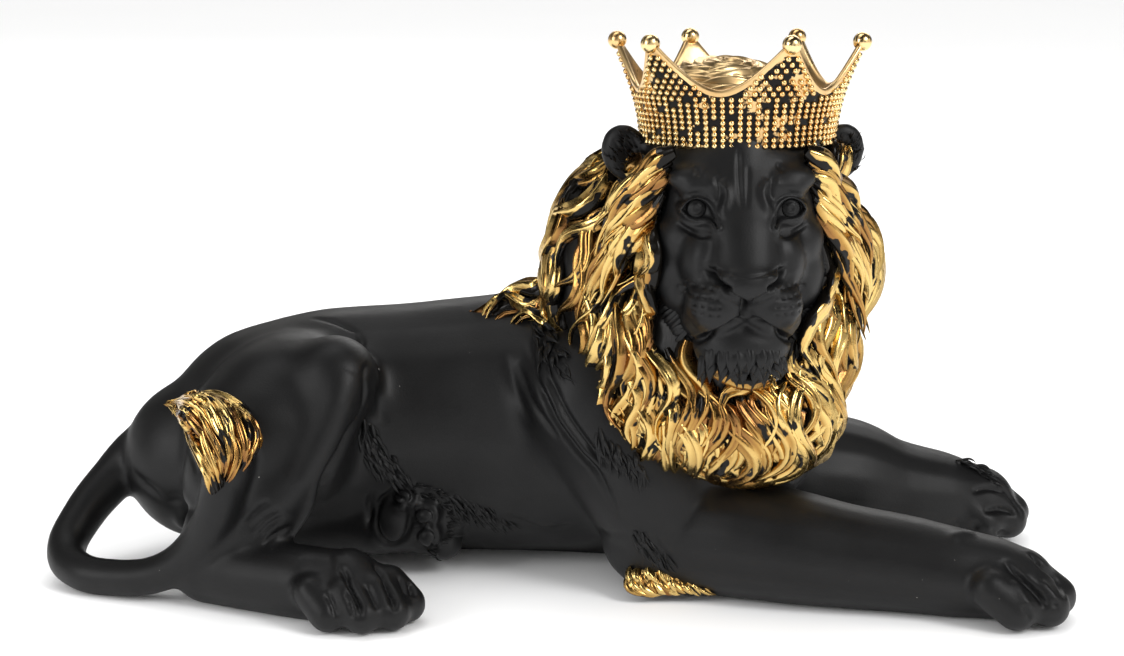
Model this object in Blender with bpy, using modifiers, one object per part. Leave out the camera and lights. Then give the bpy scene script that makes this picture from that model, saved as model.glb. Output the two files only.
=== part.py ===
"""A reclining lion with a crown, cast in one piece: body, legs, tail, mane and crown.

The lion lies along +X with its head turned towards -Y. It rests on its flat underside at z = 0, and
the origin is the middle of its footprint. Lengths are in metres. The free form of the figure is
written in units of 1/410 of its length, so a landmark of (60, -30, 90) units is 60 mm, -30 mm and
90 mm on a figure 410 mm long.
"""

import math

import bmesh
import bpy
from mathutils import Euler, Matrix, Vector
from mathutils.bvhtree import BVHTree

# Driving dimensions of the figure
LENGTH = 0.410
UNIT = LENGTH / 410.0
FOOTPRINT_CENTRE = Vector((-4.1, -8.6, 0.0))

# Driving dimensions of the crown, in metres
CROWN_RADIUS = 0.0375
CROWN_WALL = 0.0030
CROWN_FOOT = 0.001
CROWN_BAND_HEIGHT = 0.020
CROWN_SPIKE_HEIGHT = 0.016
CROWN_FLARE = 0.0085
CROWN_BALL_RADIUS = 0.0036
CROWN_SPIKES_DEG = (18, 77, 144, 198, 257, 310)
CROWN_COLUMNS = 72
SPIKE_WIDEST = 0.9
CROWN_ROWS = 3

# How finely the modelled surface is kept
BODY_VOXEL = 3.0
FORM_VOXEL = 1.6
FIGURE_TRIANGLES = 7100
FACE_CARE = 0.003

# The head's own frame: its middle, and its turn from facing -Y towards +X
HEAD_MIDDLE = Vector((66, -36, 145))
HEAD_YAW = math.radians(2)
MANE_AXIS = Vector((65, -12, 0))
FACE_HEIGHT = 140
JAW_HEIGHT = 116
CHIN_HEIGHT = 96
FACE_HALF_ANGLE_DEG = 44
MANE_TOP = 168
MANE_FOOT = 66
MANE_ROWS = 9
LOCK_SPACING_DEG = 22
LOCK_LENGTH = 37
LOCK_LENGTH_VARIES = 7
LOCK_RADIUS = 4.6
LOCK_STEPS = 7
LOCK_WAVE = math.radians(30)
LOCK_TIP = 0.7
LOCK_TIP_LIFT = 3.0
CROWN_SEAT = Vector((67.4, -20, 178.5))
CROWN_TILT = math.radians(3.4)

BLACK = (0.018, 0.018, 0.020, 1.0)


def clear_scene():
    for obj in list(bpy.data.objects):
        bpy.data.objects.remove(obj, do_unlink=True)


def evaluated_mesh(obj):
    """The object's mesh with its modifiers applied, as a new mesh."""
    bpy.context.view_layer.update()
    graph = bpy.context.evaluated_depsgraph_get()
    return bpy.data.meshes.new_from_object(obj.evaluated_get(graph))


def object_from(name, mesh, home="workshop"):
    """A new object with this mesh, in the collection of this name."""
    obj = bpy.data.objects.new(name, mesh)
    collection = bpy.data.collections.get(home)
    if collection is None:
        collection = bpy.data.collections.new(home)
        bpy.context.scene.collection.children.link(collection)
    collection.objects.link(obj)
    return obj


def head_matrix():
    """Head axes in the figure's frame: X to the viewer's right, Y forward out of the face, Z up."""
    right = Vector((math.cos(HEAD_YAW), math.sin(HEAD_YAW), 0))
    forward = Vector((math.sin(HEAD_YAW), -math.cos(HEAD_YAW), 0))
    turned = Matrix((right, forward, Vector((0, 0, 1)))).transposed().to_4x4()
    return Matrix.Translation(HEAD_MIDDLE) @ turned


class Clay:
    """Overlapping closed shapes in one mesh, melted into one skin by a voxel remesh."""

    def __init__(self, frame=Matrix.Identity(4)):
        self.bm = bmesh.new()
        self.frame = frame

    def ball(self, middle, radii, turn_deg=(0, 0, 0)):
        turn = Euler([math.radians(a) for a in turn_deg]).to_matrix().to_4x4()
        place = self.frame @ Matrix.Translation(Vector(middle)) @ turn @ Matrix.Diagonal((*radii, 1))
        mesh = ball_mesh((0, 0, 0), 1, 24, 14)
        mesh.transform(place)
        self.bm.from_mesh(mesh)
        bpy.data.meshes.remove(mesh)

    def limb(self, stations, squash=(1, 1, 1)):
        """A tapered tube through (x, y, z, radius) stations, with round ends. Squash flattens it."""
        data = bpy.data.curves.new("limb", "CURVE")
        data.dimensions = "3D"
        data.bevel_depth = 1.0
        data.bevel_resolution = 4
        data.resolution_u = 5
        data.use_fill_caps = True
        spline = data.splines.new("BEZIER")
        spline.bezier_points.add(len(stations) - 1)
        for point, (x, y, z, radius) in zip(spline.bezier_points, stations):
            point.co = (x / squash[0], y / squash[1], z / squash[2])
            point.radius = radius
            point.handle_left_type = point.handle_right_type = "AUTO"
        curve = object_from("limb", data)
        mesh = evaluated_mesh(curve)
        bpy.data.objects.remove(curve)
        scaled = self.frame @ Matrix.Diagonal((*squash, 1))
        mesh.transform(scaled)
        self.bm.from_mesh(mesh)
        bpy.data.meshes.remove(mesh)
        for x, y, z, radius in (stations[0], stations[-1]):
            self.ball((x, y, z), [radius * s for s in squash])

    def add_mesh(self, mesh):
        self.bm.from_mesh(mesh)

    def melted(self, voxel, smoothing):
        """One closed mesh: a voxel remesh at this size, then this many smoothing passes."""
        mesh = bpy.data.meshes.new("clay")
        self.bm.to_mesh(mesh)
        obj = object_from("clay", mesh)
        remesh = obj.modifiers.new("melt", "REMESH")
        remesh.mode = "VOXEL"
        remesh.voxel_size = voxel
        if smoothing:
            smooth = obj.modifiers.new("smooth", "SMOOTH")
            smooth.factor = 0.5
            smooth.iterations = smoothing
        made = evaluated_mesh(obj)
        bpy.data.objects.remove(obj)
        return made


def body_masses():
    """Torso, haunches and shoulders, with broad soft blends between them."""
    clay = Clay()
    clay.limb(
        [
            (-146, 12, 43, 34),
            (-126, 14, 50, 45.5),
            (-98, 20, 53, 50),
            (-62, 24, 54, 51),
            (-25, 24, 55, 54),
            (8, 18, 58, 55),
            (40, 4, 60, 48),
            (64, -8, 66, 42),
        ],
        squash=(1, 0.86, 1),
    )
    clay.limb([(-112, 20, 20, 24), (-62, 34, 21, 25), (-10, 34, 21, 25), (34, 26, 20, 24)])
    # Near haunch, far haunch, near shoulder, far shoulder and neck
    clay.limb([(-108, -8, 68, 32), (-116, -19, 58, 35), (-124, -28, 44, 26)])
    clay.limb([(-112, -14, 66, 32), (-101, -17, 75, 28), (-89, -24, 85, 18)])
    clay.ball((-110, 34, 44), (42, 36, 42), (0, 12, 8))
    clay.limb([(14, -12, 74, 32), (30, -22, 50, 28), (40, -24, 32, 26)])
    clay.ball((26, 34, 70), (34, 32, 38), (0, -20, 0))
    clay.limb([(36, 42, 50, 28), (62, 40, 32, 28), (96, 28, 34, 27)])
    clay.limb([(40, -2, 84, 42), (56, -14, 108, 40), (62, -20, 132, 36)])
    return clay.melted(BODY_VOXEL, 10)


def add_near_hind_leg(clay):
    clay.limb([(-120, -30, 44, 22), (-130, -38, 28, 18), (-138, -40, 13.5, 14.5)])
    clay.limb([(-87, -29, 86, 14), (-96, -36, 64, 13.5), (-108, -42, 42, 12.5), (-120, -44, 24, 13)])
    clay.limb(
        [(-138, -40, 13, 14), (-118, -50, 13, 14), (-98, -58, 13, 14.5), (-80, -64, 12.5, 14)]
    )
    for toe in ((-88, -78), (-75, -80), (-64, -76), (-59, -67)):
        clay.limb([(toe[0] - 12, toe[1] + 8, 17, 6), (*toe, 7.5, 7.3)])


def add_far_hind_leg(clay):
    clay.limb([(-108, 4, 20, 15), (-84, -2, 20, 12.5), (-62, -6, 21, 12.5)])
    for toe in ((-50, -12, 34), (-46, -10, 24), (-48, -10, 13)):
        clay.ball(toe, (8, 8, 7))
    clay.ball((-54, -6, 20), (9, 12, 13))


def add_forelegs(clay):
    clay.limb(
        [
            (38, -22, 22, 23),
            (71, -34, 23, 24),
            (91, -41, 21.5, 22.5),
            (111, -46, 19.5, 20.5),
            (133, -51, 18, 19),
            (150, -56, 16.5, 17.5),
            (165, -59, 15, 16),
            (174, -62, 13.5, 14.5),
        ]
    )
    for toe in ((171, -77), (184, -73), (189, -61), (185, -50)):
        clay.limb([(toe[0] - 15, toe[1] + 4, 18, 7), (*toe, 8.5, 8)])
    clay.limb(
        [
            (92, 27, 30, 31),
            (120, 30, 26.5, 27.5),
            (138, 32, 22, 23),
            (158, 35, 19, 20),
            (176, 38, 15.5, 16),
        ]
    )
    for toe in ((177, 25), (188, 31), (191, 42), (185, 52)):
        clay.limb([(toe[0] - 15, toe[1] + 1, 23, 7), (*toe, 10.5, 8)])


def tail_stations():
    return [
        (-160, 16, 52, 13),
        (-172, 14, 46, 11),
        (-184, 8, 35, 9.5),
        (-195, -4, 22, 8.5),
        (-199, -16, 12, 8),
        (-192, -28, 8, 7.6),
        (-176, -36, 7.5, 7.4),
        (-158, -42, 11, 7.6),
        (-143, -47, 22, 8),
        (-133, -52, 38, 8.6),
        (-128, -55, 54, 9),
    ]


def add_tail(clay):
    clay.limb(tail_stations())
    clay.limb([(-131, -55, 48, 9), (-128, -56, 62, 12), (-130, -55, 75, 10), (-141, -52, 84, 6)])


def add_head(clay):
    """Skull, brows, nose, muzzle, chin, cheeks and ears, in the head's own axes."""
    clay.frame = head_matrix()
    clay.ball((0, 0, 8), (31, 33, 34))
    clay.ball((1, -16, 28), (38, 39, 16))
    clay.ball((0, 10, 24), (27, 16, 16))
    clay.ball((0, 8, -27), (25, 25, 20))
    clay.limb([(0, 10, 34, 12), (0, 18, 18, 12.5), (0, 28, 2, 13), (0, 36, -9, 11.5)], (1.2, 1, 1))
    clay.ball((0, 44, -11), (12.5, 6.5, 7))
    clay.ball((0, 26, -36), (18, 14, 11.5))
    for side in (-1, 1):
        clay.ball((side * 10.5, 32, -21), (12.5, 14, 10.5))
        clay.ball((side * 15, 24, -26), (8, 13, 9))
        clay.ball((side * 16, 19, 24), (12, 8, 6))
        clay.ball((side * 17.4, 22.5, 13.5), (7, 6.5, 6))
        clay.ball((side * 20, 13, 0), (12, 13, 12))
        clay.ball((side * 12, 22, -6), (12, 16, 15))
        clay.ball((side * 21, 9, -12), (12, 15, 18))
        clay.ball((side * 41, -12, 29), (10, 5.5, 12), (0, side * 20, side * -15))
    clay.frame = Matrix.Identity(4)


def add_mane_mass(clay):
    """The mane's bulk: round the face, down the chest as a bib, and back over the withers."""
    clay.ball((65, -6, 128), (58, 34, 42))
    clay.ball((62, -22, 98), (51, 38, 42))
    clay.ball((70, -38, 78), (36, 26, 26))
    clay.ball((38, -10, 104), (38, 28, 29))
    clay.ball((62, -8, 193), (29, 29, 15))
    clay.limb([(44, 0, 126, 31), (10, 6, 112, 18), (-14, 10, 103, 12), (-30, 14, 99, 7)])


def flow_direction(point, normal):
    """Hair runs outwards near the crown and straight down lower on the mane."""
    out = point - Vector((MANE_AXIS.x, point.y, FACE_HEIGHT))
    if out.length > 1:
        out.normalize()
    lift = min(1.0, max(0.0, (point.z - 90) / 90))
    flow = Vector((0, 0, -1)) + out * lift * 1.1
    if point.z < 100:
        flow.x += 0.35 * (70 - point.x) / 50
    flow -= normal * flow.dot(normal)
    return flow.normalized()


def lock_stations(tree, seed, length, radius, phase):
    """Stations of one wavy lock that follows the surface from a seed point and lifts off at its tip."""
    point, normal = seed
    stations = []
    for i in range(LOCK_STEPS + 1):
        share = i / LOCK_STEPS
        belly = 0.75 + 0.6 * math.sin(math.pi * min(1, share * 1.3))
        thick = radius * belly * (1 - share**3) + LOCK_TIP
        lift = thick * 0.15 + LOCK_TIP_LIFT * share**2
        stations.append((*(point + normal * lift), thick))
        flow = flow_direction(point, normal)
        wave = LOCK_WAVE * math.sin(2 * math.pi * share + phase)
        flow = Matrix.Rotation(wave, 3, normal) @ flow
        found, found_normal, _, _ = tree.find_nearest(point + flow * (length / LOCK_STEPS))
        point, normal = found, found_normal
    return stations


def face_half_angle(height):
    """Half the bare angle of the mane's front, as seen from its axis, in degrees at this height."""
    share = (height - CHIN_HEIGHT) / (JAW_HEIGHT - CHIN_HEIGHT)
    return FACE_HALF_ANGLE_DEG * min(1.0, max(0.0, share))


def mane_seeds(tree):
    """Seed points in rows down the mane, like tiles, found by casting rays at its bulk."""
    seeds = []
    for row in range(MANE_ROWS):
        height = MANE_TOP - (MANE_TOP - MANE_FOOT) * row / (MANE_ROWS - 1)
        bare = face_half_angle(height)
        count = round((360 - 2 * bare) / LOCK_SPACING_DEG)
        for i in range(count):
            around = bare + (360 - 2 * bare) * (i + 0.5 + 0.25 * (-1) ** row) / count
            angle = math.radians(around) + HEAD_YAW
            ray = Vector((math.sin(angle), -math.cos(angle), 0))
            start = Vector((MANE_AXIS.x, MANE_AXIS.y, height))
            found, normal, _, _ = tree.ray_cast(start + ray * 200, -ray)
            if found is not None and (found - start).length > 12:
                seeds.append((found, normal))
    return seeds


def add_mane_locks(clay, tree):
    for i, seed in enumerate(mane_seeds(tree)):
        length = LOCK_LENGTH + LOCK_LENGTH_VARIES * math.sin(i * 2.4)
        clay.limb(lock_stations(tree, seed, length, LOCK_RADIUS, i * 1.9))


def mane_surface():
    """What the locks lie on: the mane's bulk and the head alone, as a tree for finding points."""
    clay = Clay()
    add_head(clay)
    add_mane_mass(clay)
    bulk = clay.melted(BODY_VOXEL, 3)
    bm = bmesh.new()
    bm.from_mesh(bulk)
    tree = BVHTree.FromBMesh(bm)
    bm.free()
    return tree


def sculpted_figure():
    clay = Clay()
    clay.add_mesh(body_masses())
    add_near_hind_leg(clay)
    add_far_hind_leg(clay)
    add_forelegs(clay)
    add_tail(clay)
    clay.limb([(30, -31, 5, 4.5), (40, -33, 6, 6), (53, -34, 5, 4.5)])
    add_head(clay)
    add_mane_mass(clay)
    formed = clay.melted(FORM_VOXEL, 3)
    haired = Clay()
    haired.add_mesh(formed)
    add_mane_locks(haired, mane_surface())
    return haired.melted(FORM_VOXEL, 1)


def crown_top(angle):
    """Height of the crown's rim at this angle, from its seat: U-shaped dips between the spikes."""
    spikes = [math.radians(a) for a in CROWN_SPIKES_DEG]
    after = min((s - angle) % math.tau for s in spikes)
    before = min((angle - s) % math.tau or math.tau for s in spikes)
    from_dip = min(1.0, abs(after - before) / (after + before) / SPIKE_WIDEST)
    return CROWN_BAND_HEIGHT + CROWN_SPIKE_HEIGHT * from_dip**1.8


def crown_radius(height):
    share = max(0.0, height) / (CROWN_BAND_HEIGHT + CROWN_SPIKE_HEIGHT)
    return CROWN_RADIUS + CROWN_FLARE * share**1.8


def crown_point(angle, height, out=0.0):
    """A point on the crown's wall. Angle 0 is the front, and angles run to the viewer's right."""
    turned = angle + HEAD_YAW
    radius = crown_radius(height) + out
    seat = (CROWN_SEAT - FOOTPRINT_CENTRE) * UNIT
    tilt = Matrix.Rotation(-CROWN_TILT, 3, "X")
    return seat + tilt @ Vector((radius * math.sin(turned), -radius * math.cos(turned), height))


def crown_mesh():
    """The crown's wall as a grid bent into a ring and given thickness, with a ball on each spike."""
    bm = bmesh.new()
    bmesh.ops.create_grid(bm, x_segments=CROWN_COLUMNS, y_segments=CROWN_ROWS, size=1)
    foot = -CROWN_FOOT
    for vert in bm.verts:
        angle = math.pi * (vert.co.x + 1)
        share = (vert.co.y + 1) / 2
        height = foot + (crown_top(angle) - foot) * share
        vert.co = crown_point(angle, height)
    bmesh.ops.remove_doubles(bm, verts=bm.verts, dist=0.0001)
    mesh = bpy.data.meshes.new("crown_wall")
    bm.to_mesh(mesh)
    bm.free()
    wall = object_from("crown_wall", mesh)
    thick = wall.modifiers.new("thickness", "SOLIDIFY")
    thick.thickness = CROWN_WALL
    thick.offset = 0
    solid = evaluated_mesh(wall)
    bpy.data.objects.remove(wall)
    return solid


def crown_balls():
    for spike in CROWN_SPIKES_DEG:
        angle = math.radians(spike)
        yield crown_point(angle, crown_top(angle) + CROWN_BALL_RADIUS * 0.5)


def union(obj, mesh, name):
    """Joins a closed mesh to the object with a Boolean, and returns the helper to hide."""
    helper = object_from(name, mesh)
    helper.hide_render = True
    helper.display_type = "WIRE"
    join = obj.modifiers.new(name, "BOOLEAN")
    join.operation = "UNION"
    join.object = helper
    return helper


def ball_mesh(middle, radius, segments, rings):
    bm = bmesh.new()
    place = Matrix.Translation(middle)
    bmesh.ops.create_uvsphere(
        bm, u_segments=segments, v_segments=rings, radius=radius, matrix=place
    )
    mesh = bpy.data.meshes.new("ball")
    bm.to_mesh(mesh)
    bm.free()
    return mesh


def placed(mesh):
    """From figure units to metres, with the origin in the middle of the footprint, cut flat at z = 0."""
    bm = bmesh.new()
    bm.from_mesh(mesh)
    bm.transform(Matrix.Scale(UNIT, 4) @ Matrix.Translation(-FOOTPRINT_CENTRE))
    geometry = bm.verts[:] + bm.edges[:] + bm.faces[:]
    cut = bmesh.ops.bisect_plane(
        bm, geom=geometry, dist=1e-6, plane_co=(0, 0, 0), plane_no=(0, 0, -1), clear_outer=True
    )
    rim = [edge for edge in cut["geom_cut"] if isinstance(edge, bmesh.types.BMEdge)]
    bmesh.ops.triangle_fill(bm, edges=rim, use_beauty=True, use_dissolve=False)
    bmesh.ops.recalc_face_normals(bm, faces=bm.faces)
    made = bpy.data.meshes.new("figure")
    bm.to_mesh(made)
    bm.free()
    return made


def is_face(point):
    """True on the face and ears, which keep smaller triangles than the rest."""
    local = head_matrix().inverted() @ point
    return local.y > 14 and -48 < local.z < 38 and abs(local.x) < 32


def cast_material():
    material = bpy.data.materials.new("black_resin")
    material.use_nodes = True
    shader = material.node_tree.nodes["Principled BSDF"]
    shader.inputs["Base Color"].default_value = BLACK
    shader.inputs["Roughness"].default_value = 0.5
    return material


def main():
    clear_scene()
    figure = object_from("figure", sculpted_figure())
    ease = figure.vertex_groups.new(name="ease")
    for vert in figure.data.vertices:
        ease.add([vert.index], 0.5 if is_face(vert.co) else 1.0, "REPLACE")
    thin = figure.modifiers.new("thin", "DECIMATE")
    thin.vertex_group = ease.name
    thin.vertex_group_factor = FACE_CARE
    triangles = sum(len(p.vertices) - 2 for p in figure.data.polygons)
    thin.ratio = FIGURE_TRIANGLES / triangles
    coarse = placed(evaluated_mesh(figure))
    bpy.data.objects.remove(figure)
    lion = object_from("lion_statue", coarse, "lion")
    union(lion, crown_mesh(), "crown")
    for i, middle in enumerate(crown_balls()):
        union(lion, ball_mesh(middle, CROWN_BALL_RADIUS, 10, 7), f"crown_ball_{i}")
    lion.data.materials.append(cast_material())
    for polygon in lion.data.polygons:
        polygon.use_smooth = True


main()
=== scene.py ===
"""Looks for the reclining crowned lion: satin black resin, bright gold mane, beaded crown.

The form is modelled in millimetres in the figure's own axes: +X towards the forepaws, +Z up, and the
face looking towards -Y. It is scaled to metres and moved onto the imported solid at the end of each
piece. Carved detail is worked into the meshes as grooves and swellings along named strokes.
"""

import math

import bmesh
import bpy
import numpy as np
from mathutils import Euler, Matrix, Vector
from mathutils.bvhtree import BVHTree


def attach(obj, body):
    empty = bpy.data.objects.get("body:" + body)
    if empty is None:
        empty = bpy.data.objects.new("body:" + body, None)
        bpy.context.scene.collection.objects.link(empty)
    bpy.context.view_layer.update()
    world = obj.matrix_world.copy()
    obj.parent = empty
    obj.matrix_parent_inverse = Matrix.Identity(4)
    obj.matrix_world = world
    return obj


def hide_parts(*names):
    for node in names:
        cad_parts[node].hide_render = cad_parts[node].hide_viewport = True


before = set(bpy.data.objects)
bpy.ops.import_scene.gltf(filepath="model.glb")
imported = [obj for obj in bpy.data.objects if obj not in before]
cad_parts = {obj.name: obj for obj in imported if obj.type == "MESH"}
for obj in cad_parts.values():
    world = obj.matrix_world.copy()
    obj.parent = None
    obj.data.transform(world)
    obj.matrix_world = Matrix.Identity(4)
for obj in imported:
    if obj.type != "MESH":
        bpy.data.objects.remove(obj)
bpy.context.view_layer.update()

# The figure's millimetres in metres, and the place in them where the frame has its zero
MM = 0.001
FOOTPRINT_CENTRE = Vector((-4.1, -8.6, 0.0))

# How finely each skin is made, in millimetres
MASS_VOXEL = 3.0
BODY_ROUGH_VOXEL = 1.7
BODY_VOXEL = 0.95
BODY_TRIANGLES = 170000
HEAD_TRIANGLES = 105000
HEAD_ROUGH_VOXEL = 1.25
HEAD_VOXEL = 0.62
BULK_VOXEL = 2.0

# The head's own frame, as in the solid
HEAD_MIDDLE = Vector((66, -36, 145))
HEAD_YAW = math.radians(2)

# The crown, in millimetres and radians, or degrees where the name says so
CROWN_SEAT = Vector((67.4, -20, 178.5))
CROWN_TILT = math.radians(3.4)
CROWN_RADIUS = 35.6
CROWN_WALL = 2.4
CROWN_FOOT = 1.0
CROWN_BAND_HEIGHT = 20.0
CROWN_SPIKE_HEIGHT = 16.0
CROWN_FLARE = 10.4
CROWN_SPIKES_DEG = (18, 77, 144, 198, 257, 310)
CROWN_BALL_RADIUS = 3.6
SPIKE_WIDEST = 0.9
BEAD_COLUMNS = 74
BEAD_ROW_PITCH = 2.15
BEAD_RADIUS = 1.16
BEAD_ROWS = 17
BEAD_FIRST_ROW = 0.4
BEAD_STAND_OFF = 0.25
BEAD_UNDER_RIM = 1.5
BEAD_GRID_UNDER_DIP = 3
BEAD_WORN_BELOW = -1.45
WALL_COLUMNS = 360
WALL_ROWS = 14

# The mane, in millimetres
MANE_AXIS = Vector((65, -12, 0))
FACE_HEIGHT = 140
JAW_HEIGHT = 116
CHIN_HEIGHT = 96
FACE_HALF_ANGLE_DEG = 42
MANE_TOP = 176
MANE_FOOT = 60
MANE_ROWS = 16
EAR_CLEARANCE = 12
EAR_MIDDLE = (41, 31)
EAR_BACK = -26
WITHERS_END = 8
WITHERS_HEIGHT = 101
WEDGE_MIDDLE = 10
WEDGE_HALF_WIDTH = 22
LOCK_PITCH = 7.6
LOCK_LENGTH = 56.0
LOCK_HALF_WIDTH = 3.9
LOCK_THICKNESS = 3.7
LOCK_RINGS = 23
LOCK_UPPER_SIDES = 11
LOCK_LOWER_SIDES = 3

# The camera that matches the photograph, and the photograph's frame
CAMERA_PLACE = Vector((0, -900, 300))
CAMERA_AIM = Vector((0, 0, 100))
SENSOR_MM = 36.0
PHOTO_WIDTH_PX = 1124
PHOTO_HEIGHT_PX = 656
MM_PER_PX_AT_AIM = 0.4

random = np.random.RandomState(7)


# Mesh helpers


def mesh_from(points, quads):
    """A mesh from an array of points and an array of four-cornered faces."""
    mesh = bpy.data.meshes.new("mesh")
    mesh.vertices.add(len(points))
    mesh.vertices.foreach_set("co", np.asarray(points, dtype=np.float32).ravel())
    mesh.loops.add(4 * len(quads))
    mesh.loops.foreach_set("vertex_index", np.asarray(quads, dtype=np.int32).ravel())
    mesh.polygons.add(len(quads))
    mesh.polygons.foreach_set("loop_start", np.arange(0, 4 * len(quads), 4, dtype=np.int32))
    mesh.update(calc_edges=True)
    mesh.validate()
    return mesh


def vectors_of(items, key):
    """An array of the vectors that the items keep under this key."""
    flat = np.empty(3 * len(items), dtype=np.float32)
    items.foreach_get(key, flat)
    return flat.reshape(-1, 3).astype(float)


def points_of(mesh):
    return vectors_of(mesh.vertices, "co")


def normals_of(mesh):
    return vectors_of(mesh.vertex_normals, "vector")


def set_points(mesh, points):
    mesh.vertices.foreach_set("co", points.astype(np.float32).ravel())
    mesh.update()


def add_value(mesh, name, values):
    """A number on each vertex, which the materials read by its name."""
    attribute = mesh.attributes.new(name, "FLOAT", "POINT")
    attribute.data.foreach_set("value", np.asarray(values, dtype=np.float32))


def evaluated_mesh(obj):
    bpy.context.view_layer.update()
    graph = bpy.context.evaluated_depsgraph_get()
    return bpy.data.meshes.new_from_object(obj.evaluated_get(graph))


def object_from(name, data):
    obj = bpy.data.objects.new(name, data)
    bpy.context.scene.collection.objects.link(obj)
    return obj


def ball_mesh(radius, segments, rings):
    bm = bmesh.new()
    bmesh.ops.create_uvsphere(bm, u_segments=segments, v_segments=rings, radius=radius)
    mesh = bpy.data.meshes.new("ball")
    bm.to_mesh(mesh)
    bm.free()
    return mesh


def finish_piece(name, mesh, material):
    """Moves a mesh from the figure's millimetres onto the solid and makes it part of the statue."""
    mesh.transform(Matrix.Scale(MM, 4) @ Matrix.Translation(-FOOTPRINT_CENTRE))
    mesh.polygons.foreach_set("use_smooth", [True] * len(mesh.polygons))
    mesh.materials.clear()
    mesh.materials.append(material)
    piece = object_from(name, mesh)
    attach(piece, "root")
    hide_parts("lion_statue")


def smooth_line(points, steps=6):
    """A curve through the points (Catmull-Rom), with this many steps between each two."""
    points = np.asarray(points, dtype=float)
    if len(points) < 3:
        share = np.linspace(0, 1, steps + 1)[:, None]
        return points[0] * (1 - share) + points[-1] * share
    padded = np.vstack([2 * points[0] - points[1], points, 2 * points[-1] - points[-2]])
    line = []
    for a, b, c, d in zip(padded, padded[1:], padded[2:], padded[3:]):
        square = 2 * a - 5 * b + 4 * c - d
        cube = 3 * b - a - 3 * c + d
        for t in np.linspace(0, 1, steps, endpoint=False):
            line.append(0.5 * (2 * b + (c - a) * t + square * t**2 + cube * t**3))
    line.append(points[-1])
    return np.array(line)


def along_and_away(points, line):
    """For each point: its distance from the line, and how far along the line it is, from 0 to 1."""
    best = np.full(len(points), np.inf)
    share = np.zeros(len(points))
    count = len(line) - 1
    for i in range(count):
        start, step = line[i], line[i + 1] - line[i]
        t = np.clip((points - start) @ step / max(step @ step, 1e-9), 0, 1)
        away = np.linalg.norm(points - start - t[:, None] * step, axis=1)
        nearer = away < best
        best[nearer] = away[nearer]
        share[nearer] = (i + t[nearer]) / count
    return best, share


class Clay:
    """Overlapping closed shapes in one mesh, melted into one skin by a voxel remesh."""

    def __init__(self, axes=Matrix.Identity(4)):
        self.bm = bmesh.new()
        self.axes = axes

    def ball(self, middle, radii, turn_deg=(0, 0, 0)):
        turn = Euler([math.radians(a) for a in turn_deg]).to_matrix().to_4x4()
        place = self.axes @ Matrix.Translation(Vector(middle)) @ turn @ Matrix.Diagonal((*radii, 1))
        mesh = ball_mesh(1, 32, 18)
        mesh.transform(place)
        self.bm.from_mesh(mesh)
        bpy.data.meshes.remove(mesh)

    def limb(self, stations, squash=(1, 1, 1)):
        """A tapered tube through (x, y, z, radius) stations, with round ends. Squash flattens it."""
        data = bpy.data.curves.new("limb", "CURVE")
        data.dimensions = "3D"
        data.bevel_depth = 1.0
        data.bevel_resolution = 7
        data.resolution_u = 9
        data.use_fill_caps = True
        spline = data.splines.new("BEZIER")
        spline.bezier_points.add(len(stations) - 1)
        for point, (x, y, z, radius) in zip(spline.bezier_points, stations):
            point.co = (x / squash[0], y / squash[1], z / squash[2])
            point.radius = radius
            point.handle_left_type = point.handle_right_type = "AUTO"
        curve = object_from("limb", data)
        mesh = evaluated_mesh(curve)
        bpy.data.objects.remove(curve)
        mesh.transform(self.axes @ Matrix.Diagonal((*squash, 1)))
        self.bm.from_mesh(mesh)
        bpy.data.meshes.remove(mesh)
        for x, y, z, radius in (stations[0], stations[-1]):
            self.ball((x, y, z), [radius * s for s in squash])

    def add_mesh(self, mesh):
        self.bm.from_mesh(mesh)

    def melted(self, voxel, smoothing):
        """One closed mesh: a voxel remesh at this size, then this many smoothing passes."""
        mesh = bpy.data.meshes.new("clay")
        self.bm.to_mesh(mesh)
        self.bm.free()
        obj = object_from("clay", mesh)
        remesh = obj.modifiers.new("melt", "REMESH")
        remesh.mode = "VOXEL"
        remesh.voxel_size = voxel
        smooth = obj.modifiers.new("smooth", "SMOOTH")
        smooth.factor = 0.5
        smooth.iterations = smoothing
        made = evaluated_mesh(obj)
        bpy.data.objects.remove(obj)
        return made


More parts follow.
